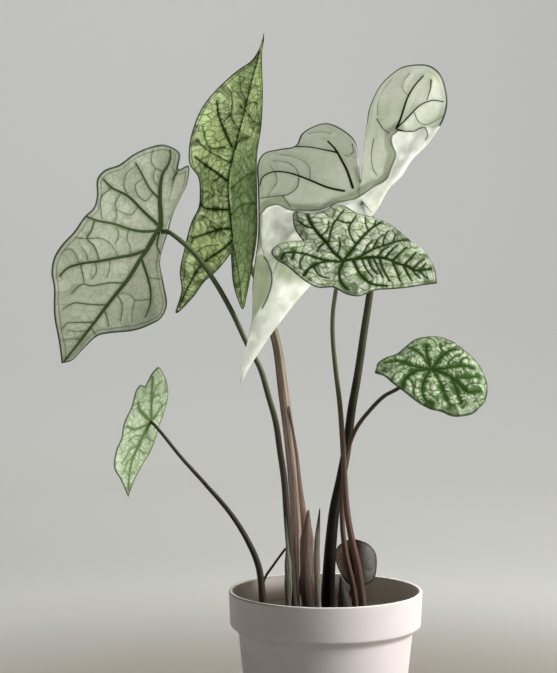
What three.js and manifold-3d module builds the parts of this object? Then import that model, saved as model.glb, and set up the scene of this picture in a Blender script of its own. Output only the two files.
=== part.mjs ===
// A potted aroid with thin fancy leaves: one pot, its soil, a tuber, six leaves on long stalks,
// and the sheaths, a spent stalk and a curled old leaf at the base.
// Millimetres, +Z up, origin at the middle of the pot's underside. The front is towards -Y.
import * as THREE from 'three';
import { mergeVertices } from 'three/addons/utils/BufferGeometryUtils.js';
import Module from 'manifold-3d';

const wasm = await Module();
wasm.setup();

// Pot
const POT_HEIGHT = 121;
const RIM_RADIUS = 68;
const RIM_BAND_HEIGHT = 24;
const RIM_BAND_TAPER = 1;
const RIM_LEDGE_DROP = 4.5;
const LEDGE_EDGE = 1;
const BODY_TOP_RADIUS = 61.3;
const BASE_RADIUS = 51.2;
const WALL = 2.6;
const FLOOR = 3.2;
const LIP_ROUND = 1.1;
const BASE_ROUND = 1.4;
const DRAIN_HOLES = 4;
const DRAIN_RADIUS = 4.5;
const DRAIN_CIRCLE = 30;
const DRAIN_SEGMENTS = 16;
const POT_SEGMENTS = 48;

// Soil and tuber
const GAP = 0.3;
const SOIL_TOP = 97;
const SOIL_MOUND = 3;
const SOIL_RISE = [0, 0.35, 0.75, 1, 0.9, 1];
const TUBER_CENTRE = [-5, 3, 60];
const TUBER_RADII = [31, 24, 15];
const TUBER_SIDES = 20;
const TUBER_RINGS = 9;

// Blades
const BLADE_THICKNESS = 0.8;
const LOBE_RIBS = 12;
const SIDE_RIBS = 10;
const BLADE_RINGS = 5;
const WELD = 1e-3;

// Stalks
const STALK_SIDES = 9;
const STALK_STEPS = 22;
const STALK_TAPER_POWER = 1.6;

// Sheaths
const SHEATH_STEPS = 10;
const SHEATH_COLUMNS = 4;
const SHEATH_TIP_SHARE = 0.12;
const SHEATH_TAPER = 2.2;

// The outlines below are drawn as they look from the front, [across, up] in the plane through the
// pot's axis. Each point then moves along its line of sight to its own depth behind that plane.
const EYE = new THREE.Vector3(-33, -1150, 331);

function seen(across, up, depth) {
  const inPlane = new THREE.Vector3(across, 0, up);
  return inPlane.sub(EYE).multiplyScalar(1 - depth / EYE.y).add(EYE);
}

// A smooth line through points given as [across, depth, up]
function route(points) {
  const placed = points.map(([across, depth, up]) => seen(across, up, depth));
  return new THREE.CatmullRomCurve3(placed, false, 'centripetal');
}

function material(color, roughness) {
  return new THREE.MeshStandardMaterial({ color, roughness, metalness: 0, side: THREE.DoubleSide });
}

const POT_WHITE = material(0xe9e4e0, 0.5);
const SOIL = material(0x3a2f26, 0.95);
const TUBER_SKIN = material(0x6b4a35, 0.9);
const LEAF_GREY_GREEN = material(0xb2b6a0, 0.6);
const LEAF_YELLOW_GREEN = material(0x8ca55a, 0.6);
const LEAF_WHITE = material(0xe6ebdf, 0.6);
const LEAF_MINT = material(0xb7d6a4, 0.6);
const STALK_TAUPE = material(0x78645a, 0.6);
const STALK_DARK = material(0x2b2926, 0.6);
const STALK_RED = material(0x5a3f37, 0.6);
const SHEATH_PAPER = material(0xb9b09c, 0.8);
const OLD_LEAF = material(0x5f5c50, 0.8);

// Solids made from lists of points and triangles

function closedGeometry(points, triangles) {
  const volume = triangles.reduce((sum, [a, b, c]) =>
    sum + points[a].dot(points[b].clone().cross(points[c])), 0);
  const facingOut = volume > 0 ? triangles : triangles.map(([a, b, c]) => [a, c, b]);
  const geometry = new THREE.BufferGeometry();
  geometry.setAttribute('position', new THREE.Float32BufferAttribute(points.flatMap((p) => p.toArray()), 3));
  geometry.setIndex(facingOut.flat());
  return geometry;
}

function weld(points, triangles) {
  const kept = [];
  const places = new Map();
  const merged = points.map((p) => {
    const key = p.toArray().map((value) => Math.round(value / WELD)).join(',');
    if (!places.has(key)) {
      places.set(key, kept.length);
      kept.push(p);
    }
    return places.get(key);
  });
  const faces = triangles
    .map((face) => face.map((corner) => merged[corner]))
    .filter(([a, b, c]) => a !== b && b !== c && c !== a);
  return [kept, faces];
}

// Gives a sheet of triangles a thickness: two like faces, and a band along every open edge.
function thicken(sheetPoints, sheetTriangles, thickness) {
  const [middle, faces] = weld(sheetPoints, sheetTriangles);
  const normals = middle.map(() => new THREE.Vector3());
  const edges = new Set();
  for (const face of faces) {
    const [a, b, c] = face.map((corner) => middle[corner]);
    const normal = b.clone().sub(a).cross(c.clone().sub(a));
    face.forEach((corner, i) => {
      normals[corner].add(normal);
      edges.add(`${corner},${face[(i + 1) % 3]}`);
    });
  }
  const offset = (side) => middle.map((p, i) =>
    p.clone().addScaledVector(normals[i].clone().normalize(), side * thickness / 2));
  const count = middle.length;
  const triangles = [];
  for (const [a, b, c] of faces) {
    triangles.push([a, b, c], [c + count, b + count, a + count]);
  }
  for (const edge of edges) {
    const [a, b] = edge.split(',').map(Number);
    if (!edges.has(`${b},${a}`)) {
      triangles.push([b, a, a + count], [b, a + count, b + count]);
    }
  }
  return closedGeometry([...offset(1), ...offset(-1)], triangles);
}

function grid(rows, columns, flip) {
  const triangles = [];
  for (let i = 0; i < rows; i += 1) {
    for (let j = 0; j < columns; j += 1) {
      const a = i * (columns + 1) + j;
      const b = a + columns + 1;
      const pair = [[a, b, b + 1], [a, b + 1, a + 1]];
      triangles.push(...pair.map((face) => (flip ? face.reverse() : face)));
    }
  }
  return triangles;
}

// Blades. Ribs run from the foot of the midrib round both back lobes, and then from the midrib
// to the two sides, as the main veins do. A point [across, up, more] lies on the blade's tilted
// plane, and more mm behind it.

function bladePoint(leaf, [across, up, more = 0]) {
  const depth = leaf.depth
    + leaf.tilt[0] * (across - leaf.foot[0])
    + leaf.tilt[1] * (up - leaf.foot[1])
    + more;
  return seen(across, up, depth);
}

function bladeCurve(leaf, points) {
  return new THREE.CatmullRomCurve3(points.map((p) => bladePoint(leaf, p)), false, 'centripetal');
}

function bladeSide(leaf, side, lobeShare, waves) {
  const margin = bladeCurve(leaf, [leaf.notch, ...side, leaf.tip]);
  const midrib = bladeCurve(leaf, [leaf.foot, ...leaf.midrib, leaf.tip]);
  const points = [];
  for (let rib = 0; rib <= LOBE_RIBS + SIDE_RIBS; rib += 1) {
    const alongLobe = Math.min(rib / LOBE_RIBS, 1);
    const alongMidrib = Math.max((rib - LOBE_RIBS) / SIDE_RIBS, 0);
    const share = lobeShare * alongLobe + (1 - lobeShare) * alongMidrib;
    const start = midrib.getPointAt(alongMidrib);
    const end = margin.getPointAt(share);
    const length = start.distanceTo(end);
    for (let ring = 0; ring <= BLADE_RINGS; ring += 1) {
      const out = ring / BLADE_RINGS;
      const point = start.clone().lerp(end, out);
      point.y -= leaf.crown * length * out * (1 - out);
      point.y += leaf.ruffle * out * out * Math.sin(waves * Math.PI * share);
      points.push(point);
    }
  }
  return points;
}

function blade(leaf, thickness = BLADE_THICKNESS) {
  const left = bladeSide(leaf, leaf.left, leaf.lobes[0], leaf.waves[0]);
  const right = bladeSide(leaf, leaf.right, leaf.lobes[1], leaf.waves[1]);
  const ribs = LOBE_RIBS + SIDE_RIBS;
  const triangles = [
    ...grid(ribs, BLADE_RINGS, false),
    ...grid(ribs, BLADE_RINGS, true).map((face) => face.map((corner) => corner + left.length)),
  ];
  return thicken([...left, ...right], triangles, thickness);
}

// Stalks: round in section, thicker at the foot, each along one curve from the tuber up.

function stalk(points, footRadius, topRadius, taper = STALK_TAPER_POWER) {
  const sides = STALK_SIDES;
  const steps = STALK_STEPS;
  const curve = route(points);
  const frames = curve.computeFrenetFrames(steps);
  const rings = [];
  for (let step = 0; step <= steps; step += 1) {
    const along = step / steps;
    const radius = topRadius + (footRadius - topRadius) * (1 - along) ** taper;
    const centre = curve.getPointAt(along);
    for (let side = 0; side < sides; side += 1) {
      const turn = 2 * Math.PI * side / sides;
      rings.push(centre.clone()
        .addScaledVector(frames.normals[step], radius * Math.cos(turn))
        .addScaledVector(frames.binormals[step], radius * Math.sin(turn)));
    }
  }
  const triangles = [];
  for (let step = 0; step < steps; step += 1) {
    for (let side = 0; side < sides; side += 1) {
      const a = step * sides + side;
      const b = step * sides + (side + 1) % sides;
      triangles.push([a, b, b + sides], [a, b + sides, a + sides]);
    }
  }
  const last = steps * sides;
  for (let side = 1; side < sides - 1; side += 1) {
    triangles.push([0, side + 1, side], [last, last + side, last + side + 1]);
  }
  return closedGeometry(rings, triangles);
}

// Sheaths: thin lance-shaped strips with a gutter section, along a centre line from the soil up.

function sheath({ line, width, curl }, extra = 0) {
  const curve = route(line);
  const points = [];
  for (let step = 0; step <= SHEATH_STEPS; step += 1) {
    const along = step / SHEATH_STEPS;
    const taper = Math.min(1, SHEATH_TIP_SHARE + SHEATH_TAPER * (1 - along));
    const half = extra + width / 2 * taper;
    const centre = curve.getPointAt(along);
    for (let column = 0; column <= SHEATH_COLUMNS; column += 1) {
      const across = 2 * column / SHEATH_COLUMNS - 1;
      const gutter = curl * half * across * across;
      points.push(new THREE.Vector3(centre.x + half * across, centre.y + gutter, centre.z));
    }
  }
  return thicken(points, grid(SHEATH_STEPS, SHEATH_COLUMNS, false), BLADE_THICKNESS + 2 * extra);
}

// Joining and cutting

function toSolid(geometry) {
  const plain = geometry.clone();
  plain.deleteAttribute('normal');
  plain.deleteAttribute('uv');
  const welded = mergeVertices(plain, WELD);
  const corners = Array.from(welded.index.array);
  const points = [];
  for (let i = 0; i < welded.attributes.position.count; i += 1) {
    points.push(new THREE.Vector3().fromBufferAttribute(welded.attributes.position, i));
  }
  const faces = [];
  for (let i = 0; i < corners.length; i += 3) {
    faces.push(corners.slice(i, i + 3));
  }
  const closed = closedGeometry(...weld(points, faces));
  const mesh = new wasm.Mesh({
    numProp: 3,
    vertProperties: new Float32Array(closed.attributes.position.array),
    triVerts: new Uint32Array(closed.index.array),
  });
  return new wasm.Manifold(mesh);
}

function toGeometry(solid) {
  const pieces = solid.decompose();
  pieces.sort((one, other) => other.volume() - one.volume());
  const mesh = pieces[0].getMesh();
  const geometry = new THREE.BufferGeometry();
  geometry.setAttribute('position', new THREE.BufferAttribute(mesh.vertProperties, 3));
  geometry.setIndex(new THREE.BufferAttribute(mesh.triVerts, 1));
  return geometry;
}

function cut(geometry, tools) {
  let solid = toSolid(geometry);
  for (const tool of tools) {
    solid = solid.subtract(toSolid(tool));
  }
  return toGeometry(solid);
}

function join(one, other) {
  return toGeometry(toSolid(one).add(toSolid(other)));
}

// Pot, soil and tuber

function innerRadius(height) {
  const slope = (BODY_TOP_RADIUS - BASE_RADIUS) / (POT_HEIGHT - RIM_BAND_HEIGHT - RIM_LEDGE_DROP);
  return BASE_RADIUS + slope * height - WALL;
}

function lathe(profile, segments) {
  return new THREE.LatheGeometry(profile.map(([r, z]) => new THREE.Vector2(r, z)), segments)
    .rotateX(Math.PI / 2);
}

function pot() {
  const bandFoot = POT_HEIGHT - RIM_BAND_HEIGHT;
  const profile = [
    [0, 0],
    [BASE_RADIUS - BASE_ROUND, 0],
    [BASE_RADIUS, BASE_ROUND],
    [BODY_TOP_RADIUS, bandFoot - RIM_LEDGE_DROP],
    [RIM_RADIUS - RIM_BAND_TAPER - LEDGE_EDGE, bandFoot - LEDGE_EDGE / 2],
    [RIM_RADIUS - RIM_BAND_TAPER, bandFoot + LEDGE_EDGE / 2],
    [RIM_RADIUS, POT_HEIGHT - LIP_ROUND],
    [RIM_RADIUS - LIP_ROUND, POT_HEIGHT],
    [RIM_RADIUS - WALL + LIP_ROUND, POT_HEIGHT],
    [RIM_RADIUS - WALL, POT_HEIGHT - LIP_ROUND],
    [RIM_RADIUS - WALL - RIM_BAND_TAPER, bandFoot + RIM_LEDGE_DROP],
    [innerRadius(bandFoot), bandFoot],
    [innerRadius(FLOOR), FLOOR],
    [0, FLOOR],
  ];
  const holes = [];
  for (let i = 0; i < DRAIN_HOLES; i += 1) {
    const angle = 2 * Math.PI * (i + 0.5) / DRAIN_HOLES;
    holes.push(new THREE.CylinderGeometry(DRAIN_RADIUS, DRAIN_RADIUS, 3 * FLOOR, DRAIN_SEGMENTS)
      .rotateX(Math.PI / 2)
      .translate(DRAIN_CIRCLE * Math.cos(angle), DRAIN_CIRCLE * Math.sin(angle), FLOOR / 2));
  }
  return cut(lathe(profile, POT_SEGMENTS), holes);
}

function tuber(extra = 0) {
  const [a, b, c] = TUBER_RADII;
  return new THREE.SphereGeometry(1, TUBER_SIDES, TUBER_RINGS)
    .rotateX(Math.PI / 2)
    .scale(a + extra, b + extra, c + extra)
    .translate(...TUBER_CENTRE);
}

function soil(standing) {
  const edge = SOIL_TOP - SOIL_MOUND;
  const profile = [[0, FLOOR + GAP], [innerRadius(FLOOR + GAP) - GAP, FLOOR + GAP]];
  SOIL_RISE.forEach((share, i) => {
    const radius = (innerRadius(edge) - GAP) * (1 - i / (SOIL_RISE.length - 1));
    profile.push([radius, edge + SOIL_MOUND * share]);
  });
  return cut(lathe(profile, POT_SEGMENTS), [tuber(GAP), ...standing]);
}

// The six leaves. A stalk's points are [across, depth, up], from the tuber to the blade's foot.

const LEAVES = {
  left: {
    color: LEAF_GREY_GREEN,
    stalkColor: STALK_TAUPE,
    radii: [3.1, 1.7],
    stalk: [
      [-18, -7, 66], [-20.5, -8, 90], [-22.5, -8.5, 114], [-24.5, -9, 141], [-26.8, -9, 169],
      [-29, -10, 198], [-32, -11, 219],
      [-35, -12, 239], [-40, -12, 257], [-46, -12, 277], [-55, -12, 294], [-66, -13, 317], [-78, -15, 338],
      [-91, -18, 356], [-104, -19, 368], [-110, -18, 372], [-115, -14.6, 372],
    ],
    foot: [-115, 372],
    depth: -14,
    tilt: [0.55, -0.22],
    notch: [-110, 372],
    midrib: [[-125, 358], [-144, 335], [-165, 305]],
    tip: [-185, 280],
    left: [
      [-107, 384, 1], [-101, 397, 2], [-97, 405, 3], [-95.5, 418, 0], [-103, 416, -5], [-102, 427, -5],
      [-113, 433, -3], [-123, 431], [-134, 426], [-144, 419], [-155, 415, 2], [-160, 409, 3], [-160, 397, 2],
      [-162, 389, 1], [-168, 383], [-176, 372], [-184, 364], [-190, 355, 3], [-192, 344, 5], [-190, 333, 5],
      [-190, 313, 4], [-187, 294, 2],
    ],
    right: [
      [-114, 361], [-116, 351], [-113, 335, 3], [-111, 321, 6], [-115, 312, 6], [-123, 307, 3], [-134, 303],
      [-152, 301, -2], [-160, 299, -2], [-171, 289], [-178, 282],
    ],
    lobes: [0.5, 0.12],
    waves: [9, 5],
    ruffle: 2.2,
    crown: 0.12,
  },
  upright: {
    color: LEAF_YELLOW_GREEN,
    stalkColor: STALK_TAUPE,
    radii: [5.4, 2.2],
    taper: 0.7,
    stalk: [
      [-14, 5, 68], [-18, 6, 95], [-19.5, 6.5, 120], [-19.8, 7, 145], [-20, 7.5, 170], [-22.3, 9, 200],
      [-25.6, 12, 230], [-29.8, 17.5, 261], [-33.2, 22.5, 288], [-37, 26, 305], [-46, 29, 335],
      [-57, 25, 357], [-65, 15, 367],
    ],
    wing: {
      line: [[-8, 5, 100], [-11, 4, 130], [-14, 4, 160], [-18, 5, 190], [-21, 8, 220], [-26, 11, 250]],
      width: 7,
      curl: 0.3,
    },
    foot: [-65, 367],
    depth: 14,
    tilt: [0, 0.03],
    notch: [-66.5, 357],
    midrib: [[-68, 407], [-60, 443], [-52, 475], [-46, 497]],
    tip: [-43, 511],
    left: [
      [-70, 352, -2], [-77, 344, -4], [-85, 337, -6], [-93, 326, -8], [-105, 315, -10],
      [-101, 331, -11], [-102, 344, -11], [-99, 359, -12], [-94, 379, -12], [-89, 389, -12],
      [-88, 397, -12], [-89, 410, -12], [-95, 419, -13], [-95.5, 431, -13], [-93, 443, -12],
      [-86.5, 458, -10], [-75.5, 472, -8], [-62.5, 484, -5], [-52, 491, -2], [-47, 498, -1],
      [-44.5, 505, 0],
    ],
    right: [
      [-66, 351, -4], [-65, 337, -10], [-62, 326, -14], [-58, 318, -20], [-54.5, 331, -26], [-52, 345, -29],
      [-48, 371, -31], [-48, 398, -31], [-48, 425, -30], [-45, 446, -27], [-44, 468, -18], [-44.5, 487, -8],
      [-44.5, 497, -4], [-43.2, 505, -1],
    ],
    lobes: [0.42, 0.28],
    waves: [10, 6],
    ruffle: 1.8,
    crown: -0.1,
  },
  crown: {
    color: LEAF_WHITE,
    stalkColor: STALK_DARK,
    radii: [5.8, 2.4],
    taper: 2.2,
    stalk: [
      [2, 15, 72], [1.8, 13, 110], [2.9, 9, 142], [6.3, 8.5, 177], [10.6, 9, 198], [15.5, 8, 225],
      [18, 7, 246],
      [22.5, 5, 272], [27, 3, 303], [31, 0, 330], [34, -5, 359], [31, -12, 383], [24, -23.6, 394],
    ],
    foot: [24, 394],
    depth: -24,
    tilt: [0, 0],
    notch: [24.3, 407, 6],
    midrib: [[4, 387, -7], [-20, 374, -9], [-36, 352, -8], [-46, 318, -5]],
    tip: [-60, 265, -6],
    left: [
      [23, 418, 12], [22, 429, 18], [20, 436, 22], [9, 445, 28], [0, 448, 31], [-10, 445, 32], [-17, 440, 31],
      [-21, 432, 29], [-31, 430, 31], [-43, 427, 32], [-47.5, 420, 30], [-47.5, 405, 25], [-47, 386, 20],
      [-47.5, 366, 16], [-49.5, 350, 14], [-51, 336, 12], [-51.5, 312, 5], [-58, 280, -4],
    ],
    right: [
      [26, 419, 10], [27, 434, 15], [29, 450, 20], [30, 457, 22], [38, 474, 22], [46, 482, 20], [54, 487, 18],
      [71, 488, 14], [78, 484, 10], [82, 478, 8], [85, 462, 4], [82, 450, 0], [78, 443, -2], [71, 433, -5],
      [60, 422, -7], [53, 411, -7], [44, 402, -3], [36, 388, 2], [6, 351, 3], [-13, 332, 0], [-34, 306, -4],
      [-51, 281, -6],
    ],
    lobes: [0.55, 0.66],
    waves: [11, 13],
    ruffle: 1.6,
    crown: 0.22,
  },
  middle: {
    color: LEAF_MINT,
    stalkColor: STALK_RED,
    radii: [3.2, 1.4],
    stalk: [
      [20, -6, 66], [24.5, -6, 90], [26, -6.5, 110], [24.3, -7.5, 126], [22, -10, 140], [18.7, -13, 155],
      [16, -16, 170], [14.3, -18.5, 185], [13.2, -21, 204], [12, -27, 225], [10, -35, 251],
      [7, -45, 276], [5, -55, 298], [5, -63, 314], [7, -70, 330], [10, -76, 344], [12.6, -76.4, 351],
    ],
    foot: [12.6, 352],
    depth: -77,
    tilt: [0.05, 0.85],
    notch: [-16, 366],
    midrib: [[38, 354], [54, 350], [62, 345]],
    tip: [78, 336, 4],
    left: [
      [-21, 373], [-23, 381], [-22, 386], [-11, 385, -2], [-1, 387, -1], [6, 391], [13, 390], [22, 385, -2],
      [34, 382, -1], [46, 377], [57, 368], [70, 358, 1], [76, 347, 3],
    ],
    right: [
      [-23, 365.5], [-32, 363.5], [-38, 358.5], [-35, 353], [-27, 348], [-20, 342, 1], [-12, 336, 2],
      [-5, 333, 2], [6, 333], [13, 329, 2], [23, 327, 2], [34, 331], [46, 332, 2], [57, 333, 3], [70, 335, 4],
    ],
    lobes: [0.4, 0.46],
    waves: [8, 9],
    ruffle: 1.2,
    crown: 0.16,
  },
  right: {
    color: LEAF_MINT,
    stalkColor: STALK_RED,
    radii: [2.6, 1.3],
    stalk: [
      [15, 1, 66], [19, 2, 90], [21, 2, 105], [19.5, 1, 122], [14.5, -1, 145], [12, -3, 165],
      [12, -4, 193], [14, -4, 211], [17.5, -6, 225],
      [22.5, -11, 236], [31, -19, 247], [41, -28, 257], [50, -35, 262], [62, -41, 270], [73.5, -44.4, 276],
    ],
    foot: [73.5, 276],
    depth: -45,
    tilt: [0.1, 0.8],
    notch: [35.4, 276.5, -1],
    midrib: [[94, 265], [103, 259]],
    tip: [112, 253, 6],
    left: [
      [36.3, 280], [42, 284], [50, 287], [56, 292], [63, 297], [73.5, 299], [81, 298.5],
      [90, 295], [99, 288, 2], [107, 280, 4], [112, 270, 6], [113.5, 262, 7],
    ],
    right: [
      [34.6, 273.4], [41, 271], [47, 266], [55, 260], [64, 253], [73, 248, 1], [81, 246, 2], [88, 243, 3],
      [94, 242.5, 4], [103, 244.5, 5], [108, 249, 6],
    ],
    lobes: [0.5, 0.45],
    waves: [6, 6],
    ruffle: 0.9,
    crown: 0.2,
  },
  low: {
    color: LEAF_MINT,
    stalkColor: STALK_RED,
    radii: [3.6, 1.2],
    stalk: [
      [-24, 2, 62], [-34, -4, 76], [-41, -9, 92], [-44, -11, 114], [-47, -12, 137], [-55, -14, 156],
      [-67, -17, 175], [-85, -22, 196], [-102, -27, 215], [-114, -30, 230], [-120, -29.5, 237],
      [-122.5, -25.7, 239],
    ],
    foot: [-122.5, 239],
    depth: -25,
    tilt: [1.2, 0],
    notch: [-126.5, 264],
    midrib: [[-131, 224], [-136.5, 205]],
    tip: [-138.5, 186],
    left: [
      [-130, 264.8], [-133, 261], [-136, 250], [-141, 239], [-143.5, 227], [-147, 219],
      [-148.5, 207], [-143.5, 198],
    ],
    right: [
      [-124, 269], [-121.5, 273.5], [-117, 277.5], [-114.3, 274], [-111, 266], [-110.5, 257],
      [-113.5, 245], [-117, 235], [-119, 228], [-123, 218], [-129.5, 207], [-134.5, 197],
    ],
    lobes: [0.35, 0.6],
    waves: [4, 6],
    ruffle: 1,
    crown: 0.25,
  },
};

// The curled old leaf low in the pot, on its own short stalk.
const OLD = {
  foot: [19, 125],
  depth: 14,
  tilt: [0, 0.1],
  notch: [20, 121.5],
  midrib: [[21, 138, 8], [22, 148, 8]],
  tip: [21, 156.5, 3],
  left: [[14, 127], [8.5, 137, -2], [7, 144, -3], [8.5, 151, -3], [14.5, 155.5]],
  right: [[28, 124, -4], [34, 128, -8], [36, 138, -9], [35, 147, -7], [30, 153, -3]],
  lobes: [0.3, 0.3],
  waves: [2, 2],
  ruffle: 0.5,
  crown: -0.35,
};
const OLD_STALK = [[10, 10, 70], [15, 13, 96], [17, 14, 112], [19, 14, 125], [20, 15, 132]];
const OLD_RADII = [1.8, 1.2];

const SPENT_RADII = [1.2, 0.9];
const SPENT_STALK = [[-45, 4, 90], [-45.5, 5, 112], [-43, 7, 128], [-36, 11, 139], [-28, 16, 150]];

const SHEATHS = {
  sheath_brown: {
    line: [[-9, -5, 80], [-10, -6, 92], [-12.5, -6, 120], [-13, -5, 150], [-12, -3, 177]],
    width: 10.5,
    curl: 0.5,
    color: STALK_TAUPE,
  },
  sheath_pale: {
    line: [[-4, -12, 80], [-4.5, -13, 92], [-5.4, -12, 122], [-6, -11, 150], [-4, -9, 178]],
    width: 4.2,
    curl: 0.4,
    color: SHEATH_PAPER,
  },
  sheath_left: {
    line: [[-25, -13, 80], [-26, -14, 92], [-26, -14.5, 118], [-26.5, -14.5, 145], [-28, -14.5, 172]],
    width: 4.6,
    curl: 0.4,
    color: SHEATH_PAPER,
  },
  sheath_short: {
    line: [[16, -12, 82], [16, -12, 92], [13.5, -11, 112], [10.5, -10, 130]],
    width: 10,
    curl: 0.6,
    color: OLD_LEAF,
  },
};

const model = new THREE.Group();

function add(name, geometry, surface) {
  const mesh = new THREE.Mesh(geometry, surface);
  mesh.name = name;
  model.add(mesh);
}

// What stands in the soil, made wider and deeper by the gap, cuts its hole there.
const standing = [];

function lowered([[across, depth, up], ...rest]) {
  return [[across, depth, up - GAP], ...rest];
}

for (const [name, leaf] of Object.entries(LEAVES)) {
  const [footRadius, topRadius] = leaf.radii;
  const clearance = [blade(leaf, BLADE_THICKNESS + 2 * GAP), tuber(GAP)];
  const stem = cut(stalk(leaf.stalk, footRadius, topRadius, leaf.taper), clearance);
  add(`blade_${name}`, blade(leaf), leaf.color);
  add(`stalk_${name}`, leaf.wing ? join(stem, sheath(leaf.wing)) : stem, leaf.stalkColor);
  standing.push(stalk(leaf.stalk, footRadius + GAP, topRadius + GAP, leaf.taper));
}

add('old_leaf', cut(join(blade(OLD), stalk(OLD_STALK, ...OLD_RADII)), [tuber(GAP)]), OLD_LEAF);
standing.push(stalk(OLD_STALK, ...OLD_RADII.map((radius) => radius + GAP)));

add('spent_stalk', stalk(SPENT_STALK, ...SPENT_RADII), STALK_DARK);
standing.push(stalk(lowered(SPENT_STALK), ...SPENT_RADII.map((radius) => radius + GAP)));

for (const [name, shape] of Object.entries(SHEATHS)) {
  add(name, sheath(shape), shape.color);
  standing.push(sheath({ ...shape, line: lowered(shape.line) }, GAP));
}

add('tuber', tuber(), TUBER_SKIN);
add('soil', soil(standing), SOIL);
add('pot', pot(), POT_WHITE);

export default model;
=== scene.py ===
"""A potted aroid with thin fancy leaves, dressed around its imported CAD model.

Lengths in the tables are millimetres, in the model's own frame: +Z up, front towards -Y. Only the
stage's and the lamps' are metres.
"""
import math
import random

import bpy
import numpy as np
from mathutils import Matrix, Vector, noise
from mathutils.bvhtree import BVHTree
from mathutils.geometry import delaunay_2d_cdt
from mathutils.kdtree import KDTree


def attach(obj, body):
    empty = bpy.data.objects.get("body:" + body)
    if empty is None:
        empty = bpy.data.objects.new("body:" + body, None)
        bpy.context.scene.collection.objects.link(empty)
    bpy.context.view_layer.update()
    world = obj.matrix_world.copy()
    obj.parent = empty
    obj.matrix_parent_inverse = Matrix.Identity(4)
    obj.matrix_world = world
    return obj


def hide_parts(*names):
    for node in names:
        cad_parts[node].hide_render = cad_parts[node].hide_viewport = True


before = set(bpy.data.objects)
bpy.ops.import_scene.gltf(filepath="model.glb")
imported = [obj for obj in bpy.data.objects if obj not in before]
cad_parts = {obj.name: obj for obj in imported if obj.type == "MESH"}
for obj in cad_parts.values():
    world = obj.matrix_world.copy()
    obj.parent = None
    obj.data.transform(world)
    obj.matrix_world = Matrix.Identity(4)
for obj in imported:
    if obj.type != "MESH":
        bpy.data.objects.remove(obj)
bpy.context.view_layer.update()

MM = 0.001
SEED = 11

# Camera: the eye that every outline below is drawn from
EYE = np.array([-33.0, -1150.0, 331.0])
PITCH_DOWN = 1.6
FOCAL_PIXELS = 1643
PICTURE_HEIGHT = 673
SENSOR = 36

# Pot and soil, as in the CAD model
POT_HEIGHT = 121
RIM_RADIUS = 68
RIM_BAND_HEIGHT = 24
RIM_BAND_TAPER = 1
RIM_LEDGE_DROP = 4.5
LEDGE_EDGE = 1
BODY_TOP_RADIUS = 61.3
BASE_RADIUS = 51.2
WALL = 2.6
FLOOR = 3.2
LIP_ROUND = 1.1
BASE_ROUND = 1.4
DRAIN_HOLES = 4
DRAIN_RADIUS = 4.5
DRAIN_CIRCLE = 30
SOIL_TOP = 97
SOIL_MOUND = 3
SOIL_GAP = 0.3

# What counts as inside the pot: within these radii, and above this height in the body
INNER_WALL = 65.9
INNER_BODY = 60.4
INNER_FROM = 88

# Heights between which the painted shade on the sheaths' feet, down in the pot, fades out
FOOT_SHADE_DEEPEST = 104
FOOT_SHADE_GONE = 150

# Ribs over a blade's lobe and along its side, and the sheet's thickness
LOBE_RIBS = 12
SIDE_RIBS = 10
BLADE_THICKNESS = 0.5

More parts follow.
